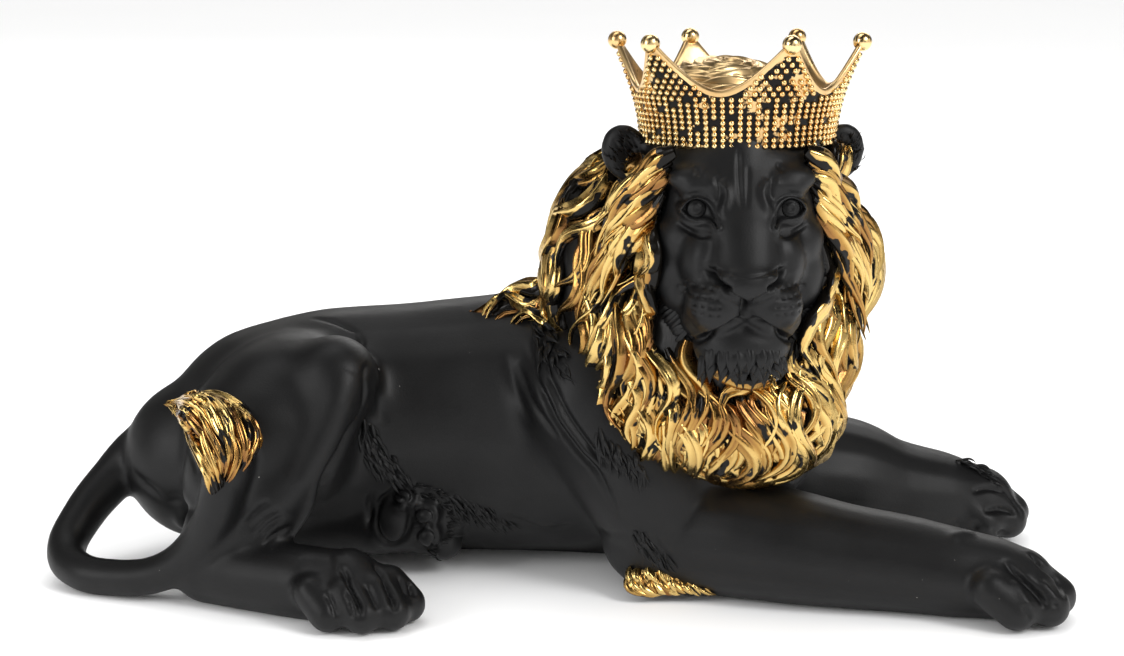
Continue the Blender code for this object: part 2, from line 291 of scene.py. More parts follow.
class Carving:
    """Strokes pressed into or raised on a mesh, measured in its own axes."""

    def __init__(self, mesh, axes=Matrix.Identity(4)):
        self.mesh = mesh
        self.into_figure = np.array(axes)
        self.into_local = np.array(axes.inverted())
        self.refresh()

    def refresh(self):
        """Reads the mesh's points and normals again after strokes have moved them."""
        here = points_of(self.mesh)
        self.points = here @ self.into_local[:3, :3].T + self.into_local[:3, 3]
        self.normals = normals_of(self.mesh) @ self.into_local[:3, :3].T

    def store(self):
        here = self.points @ self.into_figure[:3, :3].T + self.into_figure[:3, 3]
        set_points(self.mesh, here)
        self.refresh()

    def stroke(self, path, width, height, taper=0.25):
        """A groove (height below 0) or ridge along a 3-D path. It fades out over its two ends."""
        line = smooth_line(path)
        low, high = line.min(axis=0) - 3 * width, line.max(axis=0) + 3 * width
        chosen = np.nonzero(np.all((self.points > low) & (self.points < high), axis=1))[0]
        self.press(chosen, line, self.points[chosen], width, height, taper)

    def face_stroke(self, path, width, height, taper=0.25, front=0):
        """The same along a path of (across, up) places on the front of the face."""
        flat = smooth_line(path)
        low, high = flat.min(axis=0) - 3 * width, flat.max(axis=0) + 3 * width
        places = self.points[:, [0, 2]]
        inside = np.all((places > low) & (places < high), axis=1) & (self.points[:, 1] > front)
        chosen = np.nonzero(inside)[0]
        self.press(chosen, flat, places[chosen], width, height, taper)

    def press(self, chosen, line, places, width, height, taper):
        """Moves the chosen points along their normals, most of all near the line."""
        if not len(chosen):
            return
        away, share = along_and_away(places, line)
        strength = np.exp(-((away / width) ** 2))
        if taper:
            ends = np.minimum(share, 1 - share) / taper
            strength *= np.clip(ends, 0, 1) ** 0.7
        self.points[chosen] += self.normals[chosen] * (height * strength)[:, None]

    def swelling(self, middle, radii, height):
        """A soft round rise or hollow, on any side."""
        away = np.linalg.norm((self.points - np.array(middle)) / np.array(radii), axis=1)
        self.points += self.normals * (height * np.exp(-(away**2)))[:, None]


def photo_ray(px, py):
    """The direction from the camera through a pixel of the photograph."""
    forward = CAMERA_AIM - CAMERA_PLACE
    focal = forward.length / MM_PER_PX_AT_AIM
    forward.normalize()
    right = Vector((1, 0, 0))
    up = right.cross(forward)
    across = px - PHOTO_WIDTH_PX / 2
    rise = PHOTO_HEIGHT_PX / 2 - py
    return (forward * focal + right * across + up * rise).normalized()


def seen_on(tree, path_px):
    """Where the photograph's pixels fall on a surface: its points and normals."""
    points, normals = [], []
    for px, py in path_px:
        found, normal, _, _ = tree.ray_cast(CAMERA_PLACE, photo_ray(px, py))
        if found is not None:
            points.append(found)
            normals.append(normal)
    return np.array(points), np.array(normals)


def head_axes():
    """Head axes in the figure's frame: X to the viewer's right, Y forward out of the face, Z up."""
    right = Vector((math.cos(HEAD_YAW), math.sin(HEAD_YAW), 0))
    forward = Vector((math.sin(HEAD_YAW), -math.cos(HEAD_YAW), 0))
    turned = Matrix((right, forward, Vector((0, 0, 1)))).transposed().to_4x4()
    return Matrix.Translation(HEAD_MIDDLE) @ turned


# Body


def body_masses():
    """Torso, haunches, shoulders and neck, with broad soft blends between them."""
    clay = Clay()
    torso = [
        (-146, 12, 43, 34),
        (-126, 14, 50, 45.5),
        (-98, 20, 53, 50),
        (-62, 24, 54, 51),
        (-25, 24, 55, 54),
        (8, 18, 58, 55),
        (40, 4, 60, 48),
        (64, -8, 66, 42),
    ]
    clay.limb(torso, squash=(1, 0.86, 1))
    belly = [(-112, 20, 20, 24), (-62, 34, 21, 25), (-10, 34, 21, 25), (34, 26, 20, 24)]
    clay.limb(belly)
    near_haunch = [(-108, -8, 68, 32), (-116, -19, 58, 35), (-124, -28, 44, 26)]
    clay.limb(near_haunch)
    thigh_top = [(-112, -14, 66, 32), (-101, -17, 75, 28), (-89, -24, 85, 18)]
    clay.limb(thigh_top)
    thigh_front = [(-87, -27, 86, 15), (-96, -35, 64, 14), (-108, -41, 42, 13), (-120, -44, 26, 13)]
    clay.limb(thigh_front)
    far_haunch = (-110, 34, 44)
    clay.ball(far_haunch, (42, 36, 42), (0, 12, 8))
    near_shoulder = [(14, -12, 74, 32), (30, -22, 50, 28), (40, -24, 32, 26)]
    clay.limb(near_shoulder)
    far_shoulder = (26, 34, 70)
    clay.ball(far_shoulder, (34, 32, 38), (0, -20, 0))
    far_elbow = [(36, 42, 50, 28), (62, 40, 32, 28), (96, 28, 34, 27)]
    clay.limb(far_elbow)
    neck = [(40, -2, 84, 42), (56, -14, 108, 40), (62, -20, 132, 36)]
    clay.limb(neck)
    return clay.melted(MASS_VOXEL, 13)


TAIL_TUFT_CORE = ((-130, -54, 48, 8.5), (-127, -54, 61, 10), (-130, -53, 73, 8), (-140, -51, 81, 4))
NEAR_HIND_TOES = ((-88, -78), (-75, -80), (-64, -76), (-59, -67))
NEAR_FORE_TOES = ((171, -77), (184, -73), (189, -61), (185, -50))
FAR_FORE_TOES = ((177, 25), (188, 31), (191, 42), (185, 52))
TAIL = (
    (-160, 16, 52, 13),
    (-172, 14, 46, 11),
    (-184, 8, 35, 9.5),
    (-195, -4, 22, 8.5),
    (-199, -16, 12, 8),
    (-192, -28, 8, 7.6),
    (-176, -36, 7.5, 7.4),
    (-158, -42, 11, 7.6),
    (-143, -47, 22, 8),
    (-133, -52, 38, 8.6),
    (-128, -55, 54, 9),
)


def add_legs(clay):
    """Both hind feet, both forelegs and all the toes."""
    near_hock = [(-120, -30, 44, 22), (-130, -38, 28, 18), (-138, -40, 13.5, 14.5)]
    clay.limb(near_hock)
    near_foot = [(-138, -40, 13, 14), (-118, -50, 13, 14), (-98, -58, 13, 14.5), (-80, -64, 12.5, 14)]
    clay.limb(near_foot)
    for x, y in NEAR_HIND_TOES:
        clay.limb([(x - 7, y + 5, 14.5, 7), (x, y, 7.5, 7.5)])
    far_hind_leg = [(-108, 4, 20, 15), (-84, -2, 20, 12.5), (-62, -6, 21, 12.5)]
    clay.limb(far_hind_leg)
    paw, sole = (-56, -5, 20), (-68, -14, 22)
    clay.ball(paw, (9, 12, 13))
    for toe in ((-50, -10, 34), (-46, -9, 24), (-48, -9, 13)):
        clay.ball(toe, (8, 8, 7))
    clay.ball(sole, (8.5, 5.5, 10.5))
    for toe_pad in ((-62.5, -18, 34), (-53.5, -20, 28), (-53, -20, 19.5)):
        clay.ball(toe_pad, (5.2, 5.2, 4.8))
    near_foreleg = [
        (38, -22, 22, 23),
        (71, -34, 23, 24),
        (91, -41, 21.5, 22.5),
        (111, -46, 19.5, 20.5),
        (133, -51, 18, 19),
        (150, -56, 16.5, 17.5),
        (165, -59, 15, 16),
        (174, -62, 13.5, 14.5),
    ]
    clay.limb(near_foreleg)
    for x, y in NEAR_FORE_TOES:
        clay.limb([(x - 10, y + 3, 16, 8), (x, y, 8.5, 8.2)])
    far_foreleg = [
        (92, 27, 30, 31),
        (120, 30, 26.5, 27.5),
        (138, 32, 22, 23),
        (158, 35, 19, 20),
        (176, 38, 15.5, 16),
    ]
    clay.limb(far_foreleg)
    for x, y in FAR_FORE_TOES:
        clay.limb([(x - 10, y + 1, 19, 8), (x, y, 10.5, 8.2)])


def add_head_masses(clay, ears=True):
    """Skull, brows, nose, muzzle, chin, cheeks and ears, in the head's own axes."""
    clay.axes = head_axes()
    clay.ball((0, 0, 8), (31, 33, 34))
    clay.ball((1, -16, 28), (38, 39, 16))
    clay.ball((0, 10, 24), (27, 16, 16))
    clay.ball((0, 8, -27), (25, 25, 20))
    clay.limb([(0, 10, 34, 12), (0, 18, 18, 12.5), (0, 28, 2, 13), (0, 36, -9, 11.5)], (1.2, 1, 1))
    clay.ball((0, 44, -11), (12.5, 6.5, 7))
    clay.ball((0, 27, -37), (18.5, 14.5, 12))
    for side in (-1, 1):
        clay.ball((side * 10.5, 32, -21), (12.5, 14, 10.5))
        clay.ball((side * 15, 24, -26), (8, 13, 9))
        clay.ball((side * 16, 19, 24), (12, 8, 6))
        clay.ball((side * 17.4, 22.5, 13.5), (7, 6.5, 6))
        clay.ball((side * 20, 13, 0), (12, 13, 12))
        clay.ball((side * 12, 22, -6), (12, 16, 15))
        clay.ball((side * 21, 9, -12), (12, 15, 18))
        if ears:
            clay.ball((side * 41, -12, 29), (10, 5.5, 12), (0, side * 20, side * -15))
    clay.axes = Matrix.Identity(4)


def add_mane_masses(clay):
    """The mane's bulk: round the face, down the chest as a bib, and back over the withers."""
    clay.ball((65, -6, 128), (56, 32, 40))
    clay.ball((62, -22, 98), (49, 36, 40))
    clay.ball((70, -38, 78), (34, 24, 24))
    clay.ball((38, -10, 104), (36, 26, 27))
    clay.ball((41, -29, 78), (25, 20, 23))
    near_side = [
        (42, -2, 166, 16),
        (28, -2, 146, 24),
        (22, -4, 124, 25),
        (28, -12, 104, 25),
        (38, -20, 86, 20),
    ]
    clay.limb(near_side)
    wedge = [(34, 2, 122, 24), (8, 8, 108, 14), (-14, 12, 102, 9.5), (-30, 14, 98, 5)]
    clay.limb(wedge)


def flattened(mesh):
    """The mesh with everything below the ground pressed up to it."""
    points = points_of(mesh)
    points[:, 2] = np.maximum(points[:, 2], 0.0)
    set_points(mesh, points)
    return mesh


# The pads under the far hind paw, as photograph pixels: middle, half width and half height
PAD_RINGS_PX = ((393, 519, 17, 25), (402, 496, 12, 9), (424, 516, 12, 10), (426, 537, 12, 10))
PAD_GROOVE = (1.0, -1.9)

# Share of a body stroke over which each end fades out
STROKE_TAPER = 0.22

# Carved lines of the far side, as (x, z) places in mm, seen from behind
FAR_STROKES = (
    (((-150, 62), (-138, 84), (-112, 93), (-86, 84), (-74, 60)), 3.4, -1.1),
    (((-140, 62), (-128, 80), (-110, 86), (-92, 78), (-82, 60)), 7.0, 1.6),
    (((-128, 26), (-112, 20), (-96, 24)), 2.0, -1.2),
    (((-4, 58), (-8, 80), (4, 98), (22, 108)), 2.4, -1.4),
    (((6, 52), (2, 74), (12, 90)), 2.0, -0.9),
    (((30, 48), (50, 52), (72, 50)), 2.2, -1.3),
    (((14, 30), (24, 18), (40, 10)), 2.2, -1.4),
    (((176, 24), (186, 20), (196, 14)), 1.3, -1.8),
    (((174, 15), (184, 11), (193, 7)), 1.2, -1.4),
    (((60, 34), (92, 40), (124, 32), (150, 24)), 6.0, 0.9),
)

# Carved lines of the body, as paths of photograph pixels, each with its width and height in mm
BODY_STROKES = (
    # Crease in front of the haunch
    (((268, 318), (310, 318), (345, 326), (362, 342), (365, 370), (364, 398), (358, 416)), 1.3, -1.2),
    # Thigh's front edge, and the hollow below it
    (((352, 372), (334, 420), (312, 466), (286, 512)), 6.0, 2.2),
    (((362, 412), (344, 450), (326, 486), (310, 516)), 4.0, -3.4),
    # Wrinkles at the hock
    (((255, 541), (268, 526), (284, 516)), 1.0, -0.9),
    (((262, 547), (276, 534), (292, 525)), 1.0, -0.9),
    (((250, 531), (264, 517), (280, 508)), 1.0, -0.7),
    (((244, 520), (256, 508), (270, 500)), 1.2, -0.6),
    # Flank
    (((372, 379), (378, 400), (384, 424)), 2.4, -0.8),
    # Folds in the skin behind the shoulder
    (((527, 334), (543, 393), (557, 423), (578, 451), (598, 474), (621, 520)), 1.6, -1.9),
    (((539, 332), (554, 388), (569, 418), (589, 446), (610, 470)), 1.4, -1.5),
    (((533, 333), (549, 391), (563, 421), (584, 449), (604, 472)), 1.8, 1.2),
    (((515, 360), (528, 392), (543, 418), (560, 440)), 1.6, -1.1),
    (((505, 352), (516, 390), (532, 422)), 2.2, -0.7),
    # Lower edge of the belly
    (((505, 516), (560, 528), (628, 532)), 2.0, -1.3),
    # Strokes of fur on the elbow
    (((634, 533), (640, 548), (652, 562)), 1.0, -0.9),
    (((642, 530), (649, 546), (662, 560)), 1.0, -0.8),
    (((652, 530), (659, 545), (672, 558)), 1.0, -0.6),
    # Rump under the tail's root
    (((132, 470), (150, 488), (176, 500), (196, 512)), 2.2, -1.2),
    (((196, 436), (200, 455), (207, 472)), 1.4, -0.7),
    (((188, 440), (192, 458), (198, 474)), 1.2, -0.5),
    # Near forepaw: slits between the toes, and knuckles
    (((1004, 560), (1020, 577), (1036, 592), (1047, 608)), 1.3, -2.8),
    (((1028, 552), (1043, 566), (1056, 580), (1063, 598)), 1.3, -2.6),
    (((1044, 549), (1057, 560), (1067, 574)), 1.2, -1.8),
    (((1012, 580), (1022, 594), (1030, 610)), 2.0, 0.9),
    (((1040, 580), (1050, 592), (1056, 604)), 1.6, 0.9),
    (((1023, 604), (1028, 612), (1031, 620)), 0.9, -1.3),
    (((1049, 592), (1053, 600), (1056, 608)), 0.8, -1.2),
    # Dewclaw and wrist of the near foreleg
    (((944, 533), (958, 524), (976, 526), (986, 534)), 1.6, -1.2),
    (((948, 541), (962, 533), (976, 534)), 2.4, 1.0),
    # Far forepaw
    (((972, 492), (990, 488), (1006, 494)), 1.3, -1.6),
    (((984, 512), (1000, 509), (1016, 513)), 1.3, -2.0),
    (((990, 530), (1008, 534), (1022, 540)), 1.3, -1.6),
    (((1000, 484), (1012, 500), (1022, 520)), 1.4, -1.0),
    # Near hind foot: slits between the toes, claw sheaths and knuckles
    (((340, 566), (350, 582), (358, 600), (361, 620)), 1.3, -3.2),
    (((374, 562), (385, 577), (392, 594), (394, 612)), 1.3, -3.2),
    (((394, 556), (404, 568), (410, 582), (413, 596)), 1.2, -2.6),
    (((326, 592), (332, 604), (336, 618)), 1.0, -1.5),
    (((345, 590), (350, 604), (353, 618)), 0.9, -1.2),
    (((366, 584), (372, 596), (377, 610)), 1.0, -1.4),
    (((382, 580), (387, 592), (390, 604)), 0.8, -1.0),
    (((398, 576), (402, 586), (406, 596)), 0.8, -1.0),
    (((330, 556), (352, 552), (372, 548), (392, 550)), 5.0, 1.4),
    (((300, 560), (322, 566), (336, 562)), 4.0, -0.9),
    # Sole of the far hind paw
    (((371, 492), (370, 515), (371, 543)), 1.3, -1.8),
)


def ring_px(middle_x, middle_y, half_width, half_height):
    """A closed ring of photograph pixels."""
    turns = [math.tau * i / 14 for i in range(15)]
    return [(middle_x + half_width * math.cos(t), middle_y + half_height * math.sin(t)) for t in turns]


def seen_from_behind(tree, path):
    """Where (x, z) places fall on the far side of a surface."""
    hits = [tree.ray_cast(Vector((x, 300, z)), Vector((0, -1, 0)))[0] for x, z in path]
    return np.array([hit for hit in hits if hit is not None])


def body_mesh():
    """The body melted into one skin, then carved with its lines, pads and folds."""
    rough = Clay()
    rough.add_mesh(body_masses())
    add_legs(rough)
    rough.limb(TAIL)
    rough.limb(TAIL_TUFT_CORE)
    elbow_rest = [(30, -31, 5, 4.5), (40, -33, 6, 6), (53, -34, 5, 4.5)]
    rough.limb(elbow_rest)
    under_tail = (-152, -8, 26)
    rough.ball(under_tail, (5, 6, 8))
    clay = Clay()
    clay.add_mesh(rough.melted(BODY_ROUGH_VOXEL, 5))
    mesh = clay.melted(BODY_VOXEL, 4)
    tree = tree_of(mesh)
    carving = Carving(mesh)
    for path_px, width, height in BODY_STROKES:
        points, _ = seen_on(tree, path_px)
        if len(points) > 1:
            carving.stroke(points, width, height, STROKE_TAPER)
    for pad in PAD_RINGS_PX:
        points, _ = seen_on(tree, ring_px(*pad))
        carving.stroke(points, *PAD_GROOVE, 0)
    for path, width, height in FAR_STROKES:
        points = seen_from_behind(tree, path)
        if len(points) > 1:
            carving.stroke(points, width, height, STROKE_TAPER)
    carving.store()
    return thinned(flattened(mesh), BODY_TRIANGLES)


def thinned(mesh, triangles):
    """The mesh with its flatter parts in larger triangles, to stay within this many."""
    obj = object_from("thinned", mesh)
    thin = obj.modifiers.new("thin", "DECIMATE")
    thin.ratio = min(1.0, triangles / sum(len(p.vertices) - 2 for p in mesh.polygons))
    made = evaluated_mesh(obj)
    bpy.data.objects.remove(obj)
    return made


# Head


FACE_STROKES = (
    # Path of (across, up) places, width, height
    (((-1.9, 36), (-2.2, 26), (-1.6, 15)), 0.9, -0.9),
    (((1.4, 30), (1.0, 23), (0.2, 15)), 0.8, -0.5),
    (((-17, 29), (-17.4, 25.5)), 1.0, -0.9),
    (((12.3, 30.5), (14.6, 27)), 1.0, -0.9),
    (((-1.0, -16.5), (-1.2, -20), (-1.4, -24)), 0.9, -2.4),
)

MIRRORED_STROKES = (
    # Brow: the ridge over each eye, and the curved fold from the forehead to the inner eye
    (((8.5, 24.5), (13, 22.5), (19, 21.5), (24, 18.5)), 2.6, 1.4),
    (((8.6, 25), (6.4, 20.5), (7.2, 16.5), (9.5, 12)), 1.7, 1.3),
    (((10.8, 26), (9.6, 21), (10.2, 17)), 0.9, -0.7),
    # Crease over the upper lid, and the bag under the eye
    (((11.0, 16.5), (14.5, 18.4), (18.5, 18.9), (22.5, 17.2), (25, 14.5)), 0.7, -0.9),
    (((12.5, 6.0), (16.5, 5.0), (20, 5.6), (24.2, 8.0)), 1.1, -1.4),
    (((12.6, 8.2), (16.5, 7.0), (20, 7.6), (23.6, 9.6)), 1.2, 0.8),
    # Hollow beside the bridge of the nose, and the fold from the nostril down the cheek
    (((11.5, 6), (14.5, -1), (17.5, -8)), 2.6, -0.8),
    (((14.0, -4.5), (16.0, -7.5), (17.0, -11)), 1.2, -0.5),
    # Edge of the muzzle pad against the cheek
    (((22.5, -12), (22.8, -20), (20, -28), (17.5, -33)), 2.0, -0.9),
    # Mouth
    (((1.2, -24.5), (5.5, -26.0), (11.5, -29.8), (16, -33.5), (18.8, -36)), 1.1, -3.8),
    (((4, -24), (9, -26.5), (14, -30), (17.5, -33.5)), 1.3, 0.7),
)

NOSTRIL = ((13.4, -5.4), (12.4, -8.6), (9.6, -11.2), (6.4, -12.4))
NOSE_SIDE = ((13.4, -5.8), (11.6, -10.0), (8.2, -13.0), (4.2, -15.6), (0.8, -17.6))
NOSE_TOP_HALF = ((3.5, -7.0), (8.5, -6.0), (12.5, -5.2))
EYE = (17.2, 13.6)
EYE_OPENING = ((22.6, 13.4), (20.6, 16.2), (17.2, 17.4), (13.8, 15.8), (11.8, 12.2), (10.8, 8.6))
EYE_UNDER = ((22.6, 13.4), (20.6, 11.4), (17.6, 10.6), (14.2, 10.8), (12.2, 10.2), (10.8, 8.6))
EYE_AREA = ((6, 30), (0, 26))
EYE_AREA_FRONT = 10
EYE_OUTER = EYE_OPENING[0][0]
EYE_INNER = EYE_OPENING[-1][0]
EYE_SINK = 2.6
UPPER_LID_RISE = 0.9
UNDER_LID_RISE = 0.55
LID_MIDDLE = 0.9
LID_WIDTH = 0.75
EYEBALL_RADIUS = 4.4
EYEBALL_FORWARD = 23.4
IRIS_RADIUS = 2.4
IRIS_DEPTH = 0.5
IRIS_WIDTH = 0.28
IRIS_SHIFT = (0.3, 0.4)
PUPIL_RADIUS = 0.9
PUPIL_DEPTH = 0.8
EAR_FOLD = ((36, -8, 20), (39, -9, 28), (43, -9, 36))
WHISKER_ROWS = ((-13.4, 5, 2.7), (-16.5, 6, 2.6), (-19.4, 5, 2.9), (-22.2, 4, 3.0))


def mirrored(path, side):
    """A path of (across, up) places on this side of the face."""
    return [(side * x, z) for x, z in path]


def eye_shape(x, z):
    """1 inside the almond-shaped opening of an eye, 0 outside, with a soft edge."""
    upper = smooth_line(EYE_OPENING)
    under = smooth_line(EYE_UNDER)
    top = np.interp(x, upper[::-1, 0], upper[::-1, 1])
    bottom = np.interp(x, under[::-1, 0], under[::-1, 1])
    inside = np.minimum(top - z, z - bottom)
    inside = np.minimum(inside, np.minimum(x - EYE_INNER, EYE_OUTER - x) * 2)
    return 1 / (1 + np.exp(-inside / 0.22))


def carve_eyes(carving):
    """Sinks the almond of each eye into the head and raises its two lids."""
    p = carving.points
    (inner, outer), (foot, top) = EYE_AREA
    for side in (-1, 1):
        x = p[:, 0] * side
        beside = (x > inner) & (x < outer) & (p[:, 2] > foot) & (p[:, 2] < top)
        chosen = np.nonzero(beside & (p[:, 1] > EYE_AREA_FRONT))[0]
        depth = eye_shape(x[chosen], p[chosen, 2])
        p[chosen, 1] -= EYE_SINK * depth
        for lid, rise in ((EYE_OPENING, UPPER_LID_RISE), (EYE_UNDER, UNDER_LID_RISE)):
            away, _ = along_and_away(p[chosen][:, [0, 2]], smooth_line(mirrored(lid, side)))
            ridge = np.exp(-(((away - LID_MIDDLE) / LID_WIDTH) ** 2))
            p[chosen, 1] += rise * ridge * (1 - depth)


def carve_whiskers(carving):
    """Rows of small pits on the muzzle pads, joined by faint furrows."""
    for side in (-1, 1):
        for height, count, pitch in WHISKER_ROWS:
            row = [(side * (10.5 + i * pitch), height + 0.15 * i) for i in range(count)]
            carving.face_stroke(row, 0.8, -0.25, 0.1, front=15)
            for x, z in row:
                carving.face_stroke([(x - 0.1, z), (x + 0.1, z)], 0.42, -0.7, 0, front=15)


def eyeball(side):
    mesh = ball_mesh(EYEBALL_RADIUS, 40, 26)
    points = points_of(mesh)
    iris = np.hypot(points[:, 0] - side * IRIS_SHIFT[0], points[:, 2] - IRIS_SHIFT[1])
    front = points[:, 1] > 0
    ring = np.exp(-(((iris - IRIS_RADIUS) / IRIS_WIDTH) ** 2)) * IRIS_DEPTH
    pupil = np.exp(-((iris / PUPIL_RADIUS) ** 2)) * PUPIL_DEPTH
    points[front, 1] -= (ring + pupil)[front]
    set_points(mesh, points)
    mesh.transform(head_axes() @ Matrix.Translation((side * EYE[0], EYEBALL_FORWARD, EYE[1])))
    return mesh


def head_mesh():
    """The head melted into one skin, then carved with its folds, nose, ears, whisker pits and eyes."""
    rough = Clay()
    add_head_masses(rough)
    clay = Clay()
    clay.add_mesh(rough.melted(HEAD_ROUGH_VOXEL, 12))
    mesh = clay.melted(HEAD_VOXEL, 5)
    carving = Carving(mesh, head_axes())
    for path, width, height in FACE_STROKES:
        carving.face_stroke(path, width, height)
    for path, width, height in MIRRORED_STROKES:
        for side in (-1, 1):
            carving.face_stroke(mirrored(path, side), width, height)
    carving.store()
    for side in (-1, 1):
        carving.face_stroke(mirrored(NOSE_SIDE, side), 0.9, -1.3, 0.1, front=20)
        carving.face_stroke(mirrored(NOSTRIL, side), 1.3, -3.8, 0.2, front=20)
        carving.face_stroke([(side * 9.6, -8.4), (side * 7, -7.6)], 1.6, 0.8, 0, front=20)
        carving.swelling((side * 40, -6, 28), (6.5, 7, 8.5), -4.6)
        for lean in (-4, -1.5, 1, 3.5):
            path = [(side * (x + lean), y, z) for x, y, z in EAR_FOLD]
            carving.stroke(path, 0.7, -0.8)
    nose_top = mirrored(NOSE_TOP_HALF[::-1], -1) + [(0, -7.4), *NOSE_TOP_HALF]
    carving.face_stroke(nose_top, 0.5, -0.45, 0.1, front=20)
    carve_whiskers(carving)
    carve_eyes(carving)
    carving.store()
    return thinned(mesh, HEAD_TRIANGLES)


# Locks of hair


def resampled(rows, keys, steps):
    """Rows of (x, y, z), read off between their keys at these steps."""
    return np.column_stack([np.interp(steps, keys, rows[:, k]) for k in range(3)])


def unit_rows(rows):
    return rows / (np.linalg.norm(rows, axis=1)[:, None] + 1e-9)


def spine_of(path, normals, rings):
    """A lock's middle line in even steps, with the directions up and sideways at each step."""
    normals = np.atleast_2d(normals)
    line = smooth_line(path, 4)
    last = len(line) - 1
    steps = np.linspace(0, last, rings)
    centre = resampled(line, np.arange(len(line)), steps)
    up = resampled(normals, np.linspace(0, last, len(normals)), steps)
    along = unit_rows(np.gradient(centre, axis=0))
    up = unit_rows(up - along * np.sum(up * along, axis=1)[:, None])
    return centre, up, np.cross(along, up)


def tube_quads(rings, sides):
    """The four-cornered faces between the rings of a tube, as point numbers."""
    index = np.arange(rings * sides).reshape(rings, sides)
    ahead = np.roll(index, -1, axis=1)
    return np.stack([index[:-1], ahead[:-1], ahead[1:], index[1:]], axis=-1).reshape(-1, 4)


class Hair:
    """Many separate locks in one mesh. Each point has a crest (how high it lies, lowered at the root),
    from which the gold material paints shade and highlight, and its lock's tone.
    """

    def __init__(self):
        self.points = []
        self.quads = []
        self.heights = []
        self.tones = []
        self.count = 0

    def lock(self, path, normals, width, thick, strands, phase, rings=LOCK_RINGS, sides=LOCK_UPPER_SIDES):
        """One tapered lock along a path, ridged with strands on top. Normals: one, or some along it."""
        centre, up, side = spine_of(path, normals, rings)
        t = np.linspace(0, 1, rings)
        spread = (0.55 + 0.6 * np.sin(np.pi * np.minimum(1, t * 1.25)) ** 0.8) * (1 - t**2.6) + 0.04
        over = np.linspace(0, np.pi, sides, endpoint=False)
        under = np.linspace(np.pi, 2 * np.pi, LOCK_LOWER_SIDES, endpoint=False)
        angle = np.concatenate([over, under])
        sides = len(angle)
        across = np.cos(angle)
        rise = np.sin(angle)
        upper = np.clip(rise, 0, 1)
        twist = phase + 2.2 * t[:, None]
        ridge = np.cos(across[None, :] * np.pi * strands + twist)
        domed = np.where(rise > 0, rise, rise * 0.5)[None, :]
        crest = domed * (1 + 0.27 * ridge * upper[None, :] ** 0.5)
        wide = width * spread[:, None] * (1 + 0.04 * np.sin(9 * t + phase))[:, None]
        tall = thick * (spread[:, None] ** 0.7)
        ring_points = (
            centre[:, None, :]
            + side[:, None, :] * (wide * across[None, :])[:, :, None]
            + up[:, None, :] * (tall * crest)[:, :, None]
        )
        self.points.append(ring_points.reshape(-1, 3))
        self.quads.append(tube_quads(rings, sides) + self.count)
        # Crest: 0 on the underside, lower in the valleys between strands and near the root; the gold
        # paints shade from it
        height = upper[None, :] * (0.72 + 0.28 * ridge) * np.clip(0.35 + 3 * t, 0, 1)[:, None]
        self.heights.append(height.ravel())
        self.tones.append(np.full(rings * sides, (math.sin(phase * 7.3) + 1) / 2))
        self.count += rings * sides

    def mesh(self):
        mesh = mesh_from(np.vstack(self.points), np.vstack(self.quads))
        add_value(mesh, "crest", np.concatenate(self.heights))
        add_value(mesh, "tone", np.concatenate(self.tones))
        return mesh


def flow_direction(point, normal):
    """Hair runs outwards near the crown, down at the sides, and together at the foot of the bib."""
    out = np.array([point[0] - MANE_AXIS.x, 0.35 * (point[1] - MANE_AXIS.y), point[2] - FACE_HEIGHT])
    out /= np.linalg.norm(out) + 1e-9
    lift = min(1.0, max(0.0, (point[2] - 100) / 75)) * min(1.0, max(0.0, (20 - point[1]) / 25))
    flow = np.array([0, 0, -1.0]) + out * lift * 1.25
    if point[2] < 112:
        flow[0] += 0.35 * (80 - point[0]) / 50 * min(1.0, (112 - point[2]) / 35)
    if point[0] < WITHERS_END and point[2] > 90:
        flow[0] -= (WITHERS_END - point[0]) / 5
    flow -= normal * (flow @ normal)
    return flow / (np.linalg.norm(flow) + 1e-9)


def turned_about(vector, axis, angle):
    """The vector turned about a unit axis."""
    return (
        vector * math.cos(angle)
        + np.cross(axis, vector) * math.sin(angle)
        + axis * (axis @ vector) * (1 - math.cos(angle))
    )


def surface_path(tree, seed, length, wave, phase, lift, flow_at, steps=11, arch=0.0):
    """A wavy path over a surface from a seed point. It starts sunk in and lifts off at its tip."""
    point, normal = np.array(seed[0]), np.array(seed[1])
    path, normals = [], []
    for i in range(steps + 1):
        share = i / steps
        rise = lift[0] * (1 - share) + lift[1] * share**1.6 + arch * math.sin(math.pi * share)
        path.append(point + normal * rise)
        normals.append(normal)
        swing = wave * math.sin(2 * math.pi * share * 1.3 + phase)
        flow = turned_about(flow_at(point, normal), normal, swing)
        found, found_normal, _, _ = tree.find_nearest(Vector(point + flow * (length / steps)))
        point = np.array(found)
        normal = 0.5 * normal + 0.5 * np.array(found_normal)
        normal /= np.linalg.norm(normal)
    return np.array(path), np.array(normals)


def face_half_angle(height):
    """Half the bare angle of the mane's front, seen from its axis, in degrees at this height."""
    share = (height - CHIN_HEIGHT) / (JAW_HEIGHT - CHIN_HEIGHT)
    return FACE_HALF_ANGLE_DEG * min(1.0, max(0.0, share))


def tree_of(mesh):
    bm = bmesh.new()
    bm.from_mesh(mesh)
    tree = BVHTree.FromBMesh(bm)
    bm.free()
    return tree


def mane_bulk():
    """The bulk that the locks lie on: the mane and the head without its ears."""
    clay = Clay()
    add_head_masses(clay, ears=False)
    add_mane_masses(clay)
    return clay.melted(BULK_VOXEL, 6)


def near_ear(place):
    """True in front of an ear, where no lock starts."""
    local = head_axes().inverted() @ Vector(place)
    away = math.hypot(abs(local.x) - EAR_MIDDLE[0], local.z - EAR_MIDDLE[1])
    return away < EAR_CLEARANCE and local.y > EAR_BACK


def bare_back(place):
    """True on the withers, away from the pointed wedge of hair that lies on them."""
    beside = abs(place[1] - WEDGE_MIDDLE) > WEDGE_HALF_WIDTH
    return place[0] < WITHERS_END and (place[2] < WITHERS_HEIGHT or beside)


